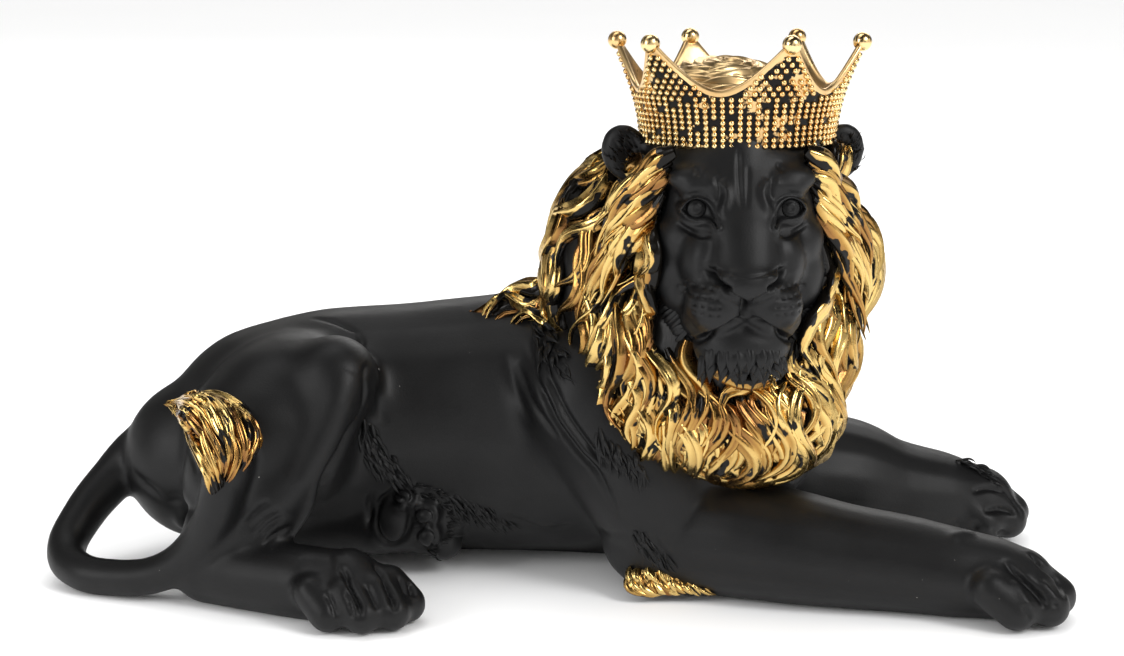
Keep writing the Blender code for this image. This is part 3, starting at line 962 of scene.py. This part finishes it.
def mane_seeds(tree):
    """Seed points in rows down the mane, like tiles, found by casting rays at its bulk."""
    seeds = []
    for row in range(MANE_ROWS):
        height = MANE_TOP - (MANE_TOP - MANE_FOOT) * row / (MANE_ROWS - 1)
        bare = face_half_angle(height)
        count = round((360 - 2 * bare) / math.degrees(LOCK_PITCH / 50))
        for i in range(count):
            around = bare + (360 - 2 * bare) * (i + 0.3 + 0.4 * (row % 2)) / count
            angle = math.radians(around + random.uniform(-2, 2)) + HEAD_YAW
            ray = Vector((math.sin(angle), -math.cos(angle), 0))
            start = Vector((MANE_AXIS.x, MANE_AXIS.y, height + random.uniform(-3, 3)))
            found, normal, _, _ = tree.ray_cast(start + ray * 200, -ray)
            if found is None or (found - start).length < 12 or near_ear(found) or bare_back(found):
                continue
            seeds.append((found, normal))
    return seeds


def mane_hair(tree):
    """The locks of the mane in three meshes, from the upper rows to the lower rows."""
    parts = (Hair(), Hair(), Hair())
    seeds = mane_seeds(tree)
    for i, seed in enumerate(seeds):
        place = seed[0]
        length = LOCK_LENGTH * random.uniform(0.75, 1.25)
        wave = math.radians(random.uniform(34, 54))
        phase = 1.3 * math.sin(place[2] * 0.07 + place[0] * 0.05) + random.uniform(-0.8, 0.8)
        arch = random.uniform(0.0, 3.0)
        hanging = min(1.0, max(0.0, (92 - place[2]) / 20))
        lift = (-1.2, random.uniform(2.5, 5.5) + 3.0 * hanging)
        path, normals = surface_path(tree, seed, length, wave, phase, lift, flow_direction, arch=arch)
        width = LOCK_HALF_WIDTH * random.uniform(0.7, 1.25)
        thickness = LOCK_THICKNESS * random.uniform(0.8, 1.25)
        strands = random.choice((1.5, 2.0, 2.5))
        parts[i * 3 // len(seeds)].lock(path, normals, width, thickness, strands, random.uniform(0, 6))
    return [part.mesh() for part in parts]


# The swept locks, in the head's own axes
SWEPT_LOCKS = 27
SWEPT_STEP_DROP = 2.2
SWEPT_LAYER_DROP = 6
SWEPT_LAYER_OUT = 5
SWEPT_LAYER_BACK = 8
SWEPT_WAVE_OUT = 2.8
SWEPT_WAVE_FORWARD = 2.0
SWEPT_RIGHT_SHARE = 0.94
SWEPT_STATIONS = (
    # x, its growth per step, y, its loss per step, z, share of the drop, sway along x and along z
    (25, 0.5, 17, 0.5, 34, 0.9, 0, 0),
    (33, 0.4, 14, 0.4, 29, 1.0, 0, 1),
    (41, 0.3, 9, 0.4, 20, 1.1, 0, -1),
    (47, 0.2, 5, 0.4, 8, 1.2, 0, 1),
    (51, 0.0, 3, 0.4, -6, 1.2, 1, 0),
)


def swept_locks():
    """The locks that sweep out from under the crown, over the foot of each ear, in two layers."""
    hair = Hair()
    axes = np.array(head_axes())
    for side in (-1, 1):
        for i in range(SWEPT_LOCKS):
            layer = i % 2
            step = i / 2
            drop = SWEPT_STEP_DROP * step + SWEPT_LAYER_DROP * layer
            sway = random.uniform(-2, 2)
            out = SWEPT_LAYER_OUT * layer
            back = SWEPT_LAYER_BACK * layer + random.uniform(-1.2, 1.2)
            turn = random.uniform(0, 6)
            path = []
            for x, spread, y, recede, z, share, sway_x, sway_z in SWEPT_STATIONS:
                across = x + spread * step + out + sway_x * sway
                path.append((across, y - recede * step - back, z - drop * share + sway_z * sway))
            last = len(path) - 1 + random.randint(0, 2)
            points = smooth_line(np.array(path[:last]), 5)
            along = np.linspace(0, 1, len(points))
            points[:, 0] += SWEPT_WAVE_OUT * along * np.sin(8 * along + turn)
            points[:, 1] += SWEPT_WAVE_FORWARD * along * np.cos(7 * along + turn)
            points[:, 0] *= side * (SWEPT_RIGHT_SHARE if side > 0 else 1.0)
            points = points @ axes[:3, :3].T + axes[:3, 3]
            normal = axes[:3, :3] @ np.array([side * 0.55, 0.8, 0.25])
            width = random.uniform(2.4, 4.4)
            thick = random.uniform(2.2, 3.4)
            hair.lock(points, normal, width, thick, random.choice((1.5, 2.0)), turn)
    return hair.mesh()


# Tufts for each one counted in a row, how far they stray in mm, and how finely each is made
FUR_DENSITY = 3
FUR_SPREAD = 2.4
FUR_RINGS = 10
FUR_SIDES = 8

# Short black fur, as paths of photograph pixels: its roots, where each tuft points, count and length
FUR_ROWS = (
    # Flank, in front of the thigh
    (((362, 424), (365, 440), (368, 456), (378, 466), (402, 473)), (0.55, -0.2, -0.8), 22, 8.0),
    (((368, 420), (372, 440), (378, 454), (392, 463)), (0.5, -0.2, -0.8), 14, 7.0),
    # Belly, behind the far hind paw
    (((450, 504), (468, 511), (484, 516), (502, 521)), (0.6, -0.1, -0.75), 20, 7.0),
    (((446, 498), (466, 503), (486, 509)), (0.6, -0.1, -0.75), 13, 6.5),
    # Round the toes of the far hind paw
    (((410, 488), (430, 492), (444, 505), (448, 522), (442, 540), (430, 556)), (0.8, -0.3, -0.2), 24, 4.0),
    # Wrist of the far forepaw
    (((958, 462), (972, 468), (988, 478)), (0.7, -0.1, -0.5), 12, 7.0),
    # Curls beside the mane, and unplated tips under it
    (((530, 306), (534, 322), (540, 340), (548, 362)), (0.5, -0.2, -0.7), 16, 8.0),
    (((540, 302), (546, 322), (552, 345), (560, 368)), (0.5, -0.2, -0.7), 14, 9.0),
    (((596, 432), (610, 444), (626, 456), (644, 466)), (0.3, -0.25, -0.9), 13, 9.0),
    # Elbow
    (((632, 528), (640, 538), (650, 548), (664, 556)), (0.45, -0.2, -0.8), 13, 8.0),
)


# The same for the fur inside the ears
EAR_FUR_ROWS = (
    (((634, 134), (626, 142), (620, 152), (616, 164)), (-0.7, -0.3, 0.5), 9, 3.4),
    (((644, 136), (636, 148), (628, 160), (622, 172)), (-0.7, -0.4, 0.4), 10, 3.4),
    (((846, 138), (854, 146), (859, 156), (861, 166)), (0.2, -0.3, 0.8), 9, 3.0),
    (((836, 142), (844, 150), (850, 160), (852, 170)), (0.7, -0.4, 0.4), 9, 3.4),
)


def strayed(across, up):
    """A random step sideways and up or down, by up to this much."""
    return np.array([random.uniform(-across, across), 0, random.uniform(-up, up)])


def black_fur(tree, rows):
    """Short tufts of black fur, in rows over a surface."""
    hair = Hair()
    for path_px, lean, count, length in rows:
        points, normals = seen_on(tree, smooth_line(path_px, 12))
        if len(points) < 2:
            continue
        tufts = FUR_DENSITY * count
        for i in range(tufts):
            share = (i + random.uniform(0.1, 0.9)) / tufts * (len(points) - 1)
            point, normal = points[int(share)], normals[int(share)]
            point = point + strayed(FUR_SPREAD, FUR_SPREAD)
            reach = length * random.uniform(0.7, 1.4)
            along = np.array(lean) + strayed(0.3, 0.2)
            along -= normal * (along @ normal) * 0.9
            along /= np.linalg.norm(along)
            side = np.cross(along, normal) * random.uniform(-0.7, 0.7)
            path = np.array(
                [
                    point - normal * 0.8,
                    point + along * reach * 0.4 + normal * 0.5 + side,
                    point + along * reach * 0.75 + normal * 0.9 + side * 0.4,
                    point + along * reach + normal * 0.6 - side * 0.3,
                ]
            )
            width = random.uniform(0.4, 0.9) * length / 7
            hair.lock(path, normal, width, width * 0.8, 1.5, i, FUR_RINGS, FUR_SIDES)
    return hair.mesh()


CROWN_HAIR_MIDDLE = (62, -8, 191)
CROWN_HAIR_RADII = (27, 27, 13)
CROWN_HAIR_EYE = np.array([66.0, -10.0, 205.0])
CROWN_HAIR_RINGS = ((23, 9), (15, 7), (7, 4))
CROWN_LOCK_LENGTH = 34
CROWN_LOCK_HALF_WIDTH = 7.4
CROWN_LOCK_THICKNESS = 4.6
CROWN_LOCK_LIFT = (-1.0, 1.2)
CROWN_LOCK_WAVE = 0.25
CROWN_LOCK_STRANDS = 3.5
ABOVE_THE_CROWN = 240


def swirl(point, normal):
    """Hair inside the crown runs round its eye and slowly inwards."""
    out = point - CROWN_HAIR_EYE
    turned = np.cross(np.array([0, 0, 1.0]), out) * 0.9 - out * 0.35
    turned -= normal * (turned @ normal)
    return turned / (np.linalg.norm(turned) + 1e-9)


def crown_hair():
    """The tuft inside the crown: broad locks that swirl round and in over a dome."""
    clay = Clay()
    clay.ball(CROWN_HAIR_MIDDLE, CROWN_HAIR_RADII)
    bulk = clay.melted(BULK_VOXEL, 3)
    tree = tree_of(bulk)
    x, y, _ = CROWN_HAIR_MIDDLE
    hair = Hair()
    for ring, (reach, count) in enumerate(CROWN_HAIR_RINGS):
        for i in range(count):
            angle = math.tau * (i + 0.5 * (ring % 2)) / count
            start = Vector((x + reach * math.cos(angle), y + reach * math.sin(angle), ABOVE_THE_CROWN))
            seed = tree.ray_cast(start, Vector((0, 0, -1)))[:2]
            if seed[0] is None:
                continue
            wave = (CROWN_LOCK_WAVE, i * 1.3)
            path, normals = surface_path(tree, seed, CROWN_LOCK_LENGTH, *wave, CROWN_LOCK_LIFT, swirl, 9)
            size = (CROWN_LOCK_HALF_WIDTH, CROWN_LOCK_THICKNESS, CROWN_LOCK_STRANDS)
            hair.lock(path, normals, *size, i * 2.1, 30, 26)
    mesh = hair.mesh()
    add_value(mesh, "gilt", np.ones(len(mesh.vertices)))
    return bulk, mesh


# The tail's tuft as the photograph shows it, from its foot up and over to the hooked tip
TUFT_LOCKS = 34
TUFT_LANES = 9
TUFT_POINTS = 9
TUFT_ROOT_SINK = 2.0
TUFT_LEFT_PX = ((213, 492), (209, 468), (196, 436), (184, 418), (176, 409), (168, 407))
TUFT_RIGHT_PX = ((236, 480), (248, 456), (252, 436), (241, 412), (213, 395), (169, 405))


def tail_tuft(tree):
    """The tuft that ends the tail: it rises over the haunch, widens and hooks back to a point."""
    left, right = np.array(TUFT_LEFT_PX), np.array(TUFT_RIGHT_PX)
    hair = Hair()
    for i in range(TUFT_LOCKS):
        lane = (i % TUFT_LANES) / (TUFT_LANES - 1)
        begin = random.uniform(0.0, 0.2) if i < TUFT_LANES else random.uniform(0.1, 0.6)
        end = min(1.0, begin + random.uniform(0.45, 0.7))
        points, normals = seen_on(tree, smooth_line(left * (1 - lane) + right * lane, 5))
        keys = np.linspace(0, 1, len(points))
        shares = np.linspace(begin, end, TUFT_POINTS)
        path = resampled(points, keys, shares)
        facing = resampled(normals, keys, shares)
        rise = 0.4 + 1.6 * math.sin(math.pi * (0.1 + 0.8 * lane)) + random.uniform(-0.5, 1.2)
        sunk = TUFT_ROOT_SINK * np.clip(1 - np.linspace(0, 1, TUFT_POINTS) * 7, 0, 1)
        path += facing * (rise - sunk)[:, None]
        path[:, 0] += 0.8 * np.sin(shares * 11 + i)
        hair.lock(path, facing, random.uniform(1.8, 2.8), 2.4, 2.0, i * 1.7, 20, 12)
    return hair.mesh()


ELBOW_CURLS = 22
ELBOW_START = 28
ELBOW_REACH = 29
ELBOW_FRONT = -41
ELBOW_ROW_RISES = (9, 14)


def elbow_tuft():
    """Short curls in two rows that fringe the elbow where it rests on the ground."""
    hair = Hair()
    for i in range(ELBOW_CURLS):
        row = i % 2
        x = ELBOW_START + ELBOW_REACH * i / ELBOW_CURLS + random.uniform(-0.8, 0.8)
        rise = ELBOW_ROW_RISES[row] * random.uniform(0.85, 1.1)
        lean = random.uniform(1, 7)
        front = ELBOW_FRONT - 1.5 * (1 - row)
        path = [
            (x, front + 5, rise),
            (x - 1.5, front - 1, rise * 0.8),
            (x + lean * 0.4, front - 2.5, rise * 0.5),
            (x + lean, front - 1.5, rise * 0.25 + 0.9),
        ]
        hair.lock(np.array(path), (0, -1.0, 0.4), random.uniform(2.2, 3.2), 2.2, 2.0, i * 1.1, 16, 12)
    return hair.mesh()


# The face's edge, and the beard's rows as height, forward reach and half width, in the head's axes
FACE_EDGE = ((31, 6, 20), (33, 5, 6), (32, 7, -8), (28.5, 10, -20), (22.5, 14, -34))
BEARD_ROWS = ((-37, 40, 13), (-40.5, 38.5, 16), (-43, 35, 17))


def face_fringe():
    """Short black tufts round the edge of the face, and the beard under the chin."""
    hair = Hair()
    axes = np.array(head_axes())

    def placed(u, w, v):
        return axes[:3, :3] @ np.array([u, w, v]) + axes[:3, 3]

    edge = smooth_line(FACE_EDGE, 9)
    for side in (-1, 1):
        for i, (u, w, v) in enumerate(edge):
            for layer in (0, 1):
                length = random.uniform(6, 9)
                start = placed(side * (u - 3.5 + layer), w + 5 - 3 * layer, v + random.uniform(-1, 1))
                middle = placed(side * (u + 0.5 + layer), w + 2.5 - 3 * layer, v - length * 0.45)
                end = placed(side * (u + 2.4 + layer), w - 1 - 3 * layer, v - length)
                normal = axes[:3, :3] @ np.array([side * 0.8, 0.7, 0.1])
                path = np.array([start, middle, end])
                hair.lock(path, normal, random.uniform(1.0, 1.7), 1.0, 1.0, i, 9, 8)
    for row, (height, forward, reach) in enumerate(BEARD_ROWS):
        count = 11 - row
        for i in range(count):
            u = reach * (2 * (i + 0.5) / count - 1) + random.uniform(-0.8, 0.8)
            w = forward - 0.026 * u * u
            length = random.uniform(8, 12)
            start = placed(u * 0.9, w - 2.5, height + 3)
            middle = placed(u + random.uniform(-1, 1), w + 0.8, height - length * 0.3)
            end = placed(u * 1.1 + random.uniform(-2, 2), w - 0.5, height - length + 1.5)
            normal = axes[:3, :3] @ np.array([u * 0.03, 1.0, -0.2])
            path = np.array([start, middle, end])
            hair.lock(path, normal, random.uniform(1.9, 2.9), 1.6, 1.5, i, 12, 10)
    return hair.mesh()


# Crown


def crown_top(angle):
    """Height of the crown's rim at this angle, from its seat: U-shaped dips between the spikes."""
    spikes = [math.radians(a) for a in CROWN_SPIKES_DEG]
    after = min((s - angle) % math.tau for s in spikes)
    before = min((angle - s) % math.tau or math.tau for s in spikes)
    from_dip = min(1.0, abs(after - before) / (after + before) / SPIKE_WIDEST)
    return CROWN_BAND_HEIGHT + CROWN_SPIKE_HEIGHT * from_dip**1.8


def crown_radius(height):
    share = max(0.0, height) / (CROWN_BAND_HEIGHT + CROWN_SPIKE_HEIGHT)
    return CROWN_RADIUS + CROWN_FLARE * share**1.8


def crown_point(angle, height, out=0.0):
    """A point on the crown's wall. Angle 0 is the front, and angles run to the viewer's right."""
    turned = angle + HEAD_YAW
    radius = crown_radius(height) + out
    tilt = Matrix.Rotation(-CROWN_TILT, 3, "X")
    place = tilt @ Vector((radius * math.sin(turned), -radius * math.cos(turned), height))
    return np.array(CROWN_SEAT + place)


def crown_wall():
    """The wall as one closed loft: up the outside, over the rounded rim and down the inside."""
    half = CROWN_WALL / 2
    rings = []
    for column in range(WALL_COLUMNS):
        angle = math.tau * column / WALL_COLUMNS
        top = crown_top(angle)
        profile = []
        heights = [-CROWN_FOOT + (top + CROWN_FOOT) * row / WALL_ROWS for row in range(WALL_ROWS + 1)]
        profile.extend(crown_point(angle, height, half) for height in heights)
        for turn in (45, 90, 135):
            lean = math.radians(turn)
            profile.append(crown_point(angle, top + half * math.sin(lean), half * math.cos(lean)))
        profile.extend(crown_point(angle, height, -half) for height in heights[::-1])
        rings.append(profile)
    rings = np.array(rings)
    around, section = rings.shape[:2]
    index = np.arange(around * section).reshape(around, section)
    beside = np.roll(index, -1, axis=0)
    above = np.roll(index, -1, axis=1)
    diagonal = np.roll(beside, -1, axis=1)
    quads = np.stack([index, beside, diagonal, above], axis=-1).reshape(-1, 4)
    mesh = mesh_from(rings.reshape(-1, 3), quads)
    gilt = np.ones((around, section))
    gilt[:, :WALL_ROWS] = 0
    add_value(mesh, "gilt", gilt.ravel())
    return mesh


def crown_beads():
    """Beads on the outside: an even grid round the band, staggered rows up the spikes."""
    beads = []
    for row in range(BEAD_ROWS):
        height = BEAD_FIRST_ROW + BEAD_ROW_PITCH * row
        in_band = height < CROWN_BAND_HEIGHT - BEAD_GRID_UNDER_DIP
        for column in range(BEAD_COLUMNS):
            shift = 0.0 if in_band else 0.5 * (row % 2)
            angle = math.tau * (column + shift) / BEAD_COLUMNS
            if height > crown_top(angle) - BEAD_UNDER_RIM:
                continue
            worn = math.sin(column * 1.7 + row * 2.9) + math.sin(column * 0.41 - row * 1.3)
            if worn < BEAD_WORN_BELOW:
                continue
            place = crown_point(angle, height, CROWN_WALL / 2 + BEAD_STAND_OFF)
            beads.append((place, BEAD_RADIUS))
    return beads


def balls_mesh(beads, segments, rings):
    """Many balls in one mesh, each as (middle, radius)."""
    one = ball_mesh(1.0, segments, rings)
    base = points_of(one)
    faces = [tuple(p.vertices) for p in one.polygons]
    points = []
    polygons = []
    for middle, radius in beads:
        start = len(points) * len(base)
        points.append(base * radius + middle)
        polygons.extend(tuple(start + v for v in face) for face in faces)
    mesh = bpy.data.meshes.new("balls")
    mesh.from_pydata(np.vstack(points).tolist(), [], polygons)
    mesh.update()
    return mesh


def crown_tips():
    """The six balls on the spikes."""
    for spike in CROWN_SPIKES_DEG:
        angle = math.radians(spike)
        yield crown_point(angle, crown_top(angle) + CROWN_BALL_RADIUS * 0.5), CROWN_BALL_RADIUS


# Materials


class Nodes:
    """A short way to add and join the nodes of a material or world."""

    def __init__(self, owner):
        owner.use_nodes = True
        self.owner = owner
        self.tree = owner.node_tree
        self.shader = self.tree.nodes.get("Principled BSDF")

    def add(self, kind, **settings):
        node = self.tree.nodes.new(kind)
        for key, value in settings.items():
            setattr(node, key, value)
        return node

    def join(self, output, target):
        self.tree.links.new(output, target)

    def place(self):
        return self.add("ShaderNodeTexCoord").outputs["Object"]

    def value_of(self, name):
        return self.add("ShaderNodeAttribute", attribute_name=name).outputs["Fac"]

    def noise(self, scale, detail=4.0, roughness=0.5, vector=None):
        node = self.add("ShaderNodeTexNoise")
        node.inputs["Scale"].default_value = scale
        node.inputs["Detail"].default_value = detail
        node.inputs["Roughness"].default_value = roughness
        self.join(vector or self.place(), node.inputs["Vector"])
        return node.outputs["Fac"]

    def ramp(self, value, stops):
        node = self.add("ShaderNodeValToRGB")
        elements = node.color_ramp.elements
        while len(elements) < len(stops):
            elements.new(0.5)
        for element, (position, colour) in zip(elements, stops):
            element.position = position
            element.color = (*colour, 1.0) if len(colour) == 3 else colour
        self.join(value, node.inputs["Fac"])
        return node.outputs["Color"]

    def math(self, operation, a, b):
        node = self.add("ShaderNodeMath", operation=operation)
        for socket, value in zip(node.inputs, (a, b)):
            if isinstance(value, (int, float)):
                socket.default_value = value
            else:
                self.join(value, socket)
        return node.outputs["Value"]

    def scaled(self, value, factor, centre=0.0):
        """A value's distance from a centre, times a factor."""
        if centre:
            value = self.math("SUBTRACT", value, centre)
        return self.math("MULTIPLY", value, factor)

    def drift(self, value, low, high, edge=0.3):
        """A colour or grey that drifts between two, with this much held flat at each end."""
        ends = [(v,) * 3 if isinstance(v, float) else v for v in (low, high)]
        return self.ramp(value, [(edge, ends[0]), (1 - edge, ends[1])])

    def mix(self, factor, a, b):
        node = self.add("ShaderNodeMix", data_type="RGBA")
        self.join(factor, node.inputs["Factor"])
        for socket, value in ((node.inputs[6], a), (node.inputs[7], b)):
            if isinstance(value, tuple):
                socket.default_value = (*value, 1.0)
            else:
                self.join(value, socket)
        return node.outputs[2]

    def bump(self, height, strength, distance):
        node = self.add("ShaderNodeBump")
        node.inputs["Strength"].default_value = strength
        node.inputs["Distance"].default_value = distance
        self.join(height, node.inputs["Height"])
        self.join(node.outputs["Normal"], self.shader.inputs["Normal"])

    def set(self, socket, value):
        if isinstance(value, (int, float, tuple)):
            self.shader.inputs[socket].default_value = value
        else:
            self.join(value, self.shader.inputs[socket])


BLACK = (0.0, 0.0, 0.0)
WHITE = (1.0, 1.0, 1.0)
CHARCOAL = (0.0048, 0.0048, 0.0051)
SOOT = (0.0030, 0.0030, 0.0033)
DUST = (0.55, 0.53, 0.50)
# Gold tones. The gold drifts from pale to copper partly at random and partly by the crest: copper in the
# folds is painted shade, pale on the crests painted highlight
PALE_GOLD = (0.76, 0.53, 0.19)
DEEP_GOLD = (0.44, 0.25, 0.07)
COPPER = (0.26, 0.125, 0.043)
BEAD_GOLDS = ((0.78, 0.48, 0.19), (0.96, 0.72, 0.36))
RIM_GOLDS = ((0.66, 0.42, 0.18), (0.90, 0.66, 0.34))
# Black paint, as on the mane's bed and the crown's ground; on the gold it also gives painted shade in the
# valleys, undersides and roots
DARK_RECESS = (0.005, 0.004, 0.003)


def new_material(name):
    return Nodes(bpy.data.materials.new(name))


def black_resin():
    """Satin black paint on cast resin: soft mottling, a faint grain and a few specks of dust."""
    nodes = new_material("black_resin")
    colour = nodes.drift(nodes.noise(38.0, 5.0, 0.6), SOOT, CHARCOAL)
    specks = nodes.ramp(nodes.noise(900.0, 1.0, 0.4), [(0.845, BLACK), (0.855, WHITE)])
    nodes.set("Base Color", nodes.mix(specks, colour, DUST))
    nodes.set("Roughness", nodes.drift(nodes.noise(60.0, 6.0, 0.6), 0.42, 0.52, 0.25))
    nodes.set("Specular IOR Level", 0.31)
    nodes.bump(nodes.noise(1400.0, 3.0, 0.55), 0.16, 0.0004)
    return nodes.owner


def bright_gold():
    """Bright plating on hair: pale on the crests and copper in the folds, which is painted highlight and
    painted shade; black where the plating is missing, and black in the valleys, undersides and roots as
    painted shade.
    """
    nodes = new_material("bright_gold")
    crest = nodes.value_of("crest")
    tone = nodes.value_of("tone")
    warm = nodes.math("ADD", nodes.scaled(tone, 0.35), nodes.scaled(nodes.noise(46.0, 3.0), 0.6))
    # Tone drifts at random by lock and by noise; the crest adds painted shade (copper in the folds) and
    # painted highlight (pale on the crests)
    warm = nodes.math("ADD", warm, nodes.scaled(crest, 0.4, 0.45))
    gold = nodes.ramp(warm, [(0.30, COPPER), (0.48, DEEP_GOLD), (0.68, PALE_GOLD)])
    fine = nodes.scaled(nodes.noise(120.0, 4.0, 0.6), 0.7, 0.5)
    broad = nodes.scaled(nodes.noise(85.0, 2.0), 2.4, 0.5)
    # Black where the plating is missing, from the noise, plus painted shade from the crest: black in the
    # valleys, on the undersides and at the roots
    plating_gap_and_shade = nodes.math("ADD", crest, nodes.math("ADD", fine, broad))
    shown = nodes.ramp(plating_gap_and_shade, [(0.32, BLACK), (0.38, WHITE)])
    nodes.set("Base Color", nodes.mix(shown, DARK_RECESS, gold))
    nodes.set("Metallic", shown)
    nodes.set("Specular IOR Level", 0.2)
    nodes.set("Roughness", nodes.drift(nodes.noise(90.0, 4.0, 0.6), 0.14, 0.30))
    nodes.bump(nodes.noise(420.0, 4.0, 0.6), 0.22, 0.0005)
    return nodes.owner


def bead_gold():
    """Plating on the crown's beads and tips."""
    nodes = new_material("bead_gold")
    darker, paler = BEAD_GOLDS
    nodes.set("Base Color", nodes.ramp(nodes.noise(34.0, 3.0), [(0.35, darker), (0.55, paler)]))
    nodes.set("Metallic", 1.0)
    nodes.set("Roughness", nodes.drift(nodes.noise(200.0, 3.0), 0.16, 0.32))
    nodes.bump(nodes.noise(700.0, 3.0, 0.6), 0.2, 0.0003)
    return nodes.owner


def crown_wall_material():
    """Black ground between the beads outside, plain brushed plating on the rim and inside."""
    nodes = new_material("crown_wall")
    worn = nodes.scaled(nodes.noise(260.0, 4.0, 0.6), 0.35)
    worn_off = nodes.math("ADD", worn, nodes.scaled(nodes.noise(70.0, 2.0), 0.55))
    bare = nodes.math("ADD", nodes.value_of("gilt"), worn_off)
    shown = nodes.ramp(bare, [(0.485, BLACK), (0.505, WHITE)])
    gold = nodes.drift(nodes.noise(50.0, 3.0), *RIM_GOLDS)
    nodes.set("Base Color", nodes.mix(shown, DARK_RECESS, gold))
    nodes.set("Metallic", shown)
    nodes.set("Roughness", nodes.drift(nodes.noise(120.0), 0.24, 0.42))
    nodes.set("Specular IOR Level", 0.15)
    nodes.bump(nodes.noise(300.0, 4.0, 0.6), 0.2, 0.0004)
    return nodes.owner


def recess_black():
    """The dark bed under the locks."""
    nodes = new_material("recess_black")
    nodes.set("Base Color", nodes.drift(nodes.noise(80.0), SOOT, DARK_RECESS))
    nodes.set("Roughness", nodes.drift(nodes.noise(60.0), 0.35, 0.5))
    nodes.bump(nodes.noise(500.0, 4.0, 0.6), 0.3, 0.0005)
    return nodes.owner


def pale_floor():
    nodes = new_material("pale_floor")
    nodes.set("Base Color", nodes.drift(nodes.noise(3.0), 0.95, 0.97, 0.0))
    nodes.set("Roughness", 0.9)
    nodes.set("Specular IOR Level", 0.1)
    return nodes.owner


# Stage


def in_metres(place):
    """A place in the figure's millimetres, in the frame's metres."""
    return (place - FOOTPRINT_CENTRE) * MM


def add_camera():
    data = bpy.data.cameras.new("camera")
    data.sensor_width = SENSOR_MM
    distance = (CAMERA_AIM - CAMERA_PLACE).length
    data.lens = SENSOR_MM * distance / MM_PER_PX_AT_AIM / PHOTO_WIDTH_PX
    camera = object_from("camera", data)
    camera.location = in_metres(CAMERA_PLACE)
    camera.rotation_euler = (CAMERA_AIM - CAMERA_PLACE).to_track_quat("-Z", "Y").to_euler()
    bpy.context.scene.camera = camera


FLOOR_SIZE = 14.0
ROOM_DARK = (0.01, 0.01, 0.01)
ROOM_PALE = (0.9, 0.88, 0.85)
LIGHTS_AIM = Vector((0, 0, 0.1))
LIGHTS = (
    # Name, place, width and height in metres, power in watts
    ("key", (1.2, -1.0, 1.3), 0.6, 0.8, 17),
    ("fill", (-1.4, -1.0, 0.7), 0.5, 1.0, 10),
    ("top", (-0.2, 0.3, 1.9), 1.2, 0.7, 6.5),
    ("back", (0.4, 1.6, 1.0), 1.4, 0.5, 6),
)


def add_area_light(name, place, width, height, power):
    data = bpy.data.lights.new(name, "AREA")
    data.shape = "RECTANGLE"
    data.size = width
    data.size_y = height
    data.energy = power
    light = object_from(name, data)
    light.location = place
    light.rotation_euler = (LIGHTS_AIM - Vector(place)).to_track_quat("-Z", "Y").to_euler()


def add_world():
    """White all round, with a patchy room of soft panels for the plating to reflect."""
    nodes = Nodes(bpy.data.worlds.new("studio"))
    bpy.context.scene.world = nodes.owner
    backdrop = nodes.tree.nodes["Background"]
    backdrop.inputs["Color"].default_value = (*WHITE, 1)
    backdrop.inputs["Strength"].default_value = 1.0
    room = nodes.add("ShaderNodeBackground")
    around = nodes.add("ShaderNodeTexCoord").outputs["Generated"]
    drift = nodes.noise(1.7, 1.5, vector=around)
    panels = nodes.ramp(drift, [(0.50, ROOM_DARK), (0.60, ROOM_PALE)])
    nodes.join(panels, room.inputs["Color"])
    rays = nodes.add("ShaderNodeLightPath").outputs
    plain = nodes.math("MAXIMUM", rays["Is Camera Ray"], rays["Is Diffuse Ray"])
    mix = nodes.add("ShaderNodeMixShader")
    nodes.join(plain, mix.inputs["Fac"])
    nodes.join(room.outputs["Background"], mix.inputs[1])
    nodes.join(backdrop.outputs["Background"], mix.inputs[2])
    nodes.join(mix.outputs["Shader"], nodes.tree.nodes["World Output"].inputs["Surface"])


def add_stage():
    bpy.context.scene.view_settings.view_transform = "Standard"
    bpy.ops.mesh.primitive_plane_add(size=FLOOR_SIZE)
    floor = bpy.context.object
    floor.name = "floor"
    floor.data.materials.append(pale_floor())
    add_world()
    for light in LIGHTS:
        add_area_light(*light)


def add_lion():
    """Makes every piece. The order matters, because the hair draws from one run of random numbers."""
    black = black_resin()
    gold = bright_gold()
    recess = recess_black()
    brushed = crown_wall_material()
    beads = bead_gold()
    body = body_mesh()
    body_tree = tree_of(body)
    finish_piece("body", body, black)
    head = head_mesh()
    ear_fur = black_fur(tree_of(head), EAR_FUR_ROWS)
    finish_piece("head", head, black)
    finish_piece("ear_fur", ear_fur, black)
    finish_piece("eyeball_left", eyeball(-1), black)
    finish_piece("eyeball_right", eyeball(1), black)
    manes = mane_hair(tree_of(mane_bulk()))
    for part, mesh in zip(("upper", "middle", "lower"), manes):
        finish_piece("mane_" + part, mesh, gold)
    masses = Clay()
    add_mane_masses(masses)
    finish_piece("mane_bed", masses.melted(BULK_VOXEL, 8), recess)
    finish_piece("face_fringe", face_fringe(), black)
    dome, tuft = crown_hair()
    finish_piece("crown_hair_bed", dome, recess)
    finish_piece("crown_hair", tuft, brushed)
    finish_piece("swept_locks", swept_locks(), gold)
    finish_piece("black_fur", black_fur(body_tree, FUR_ROWS), black)
    finish_piece("tail_tuft", tail_tuft(body_tree), gold)
    finish_piece("elbow_tuft", elbow_tuft(), gold)
    finish_piece("crown_wall", crown_wall(), brushed)
    finish_piece("crown_beads", balls_mesh(crown_beads(), 8, 6), beads)
    finish_piece("crown_tips", balls_mesh(list(crown_tips()), 28, 18), beads)


add_stage()
add_camera()
add_lion()
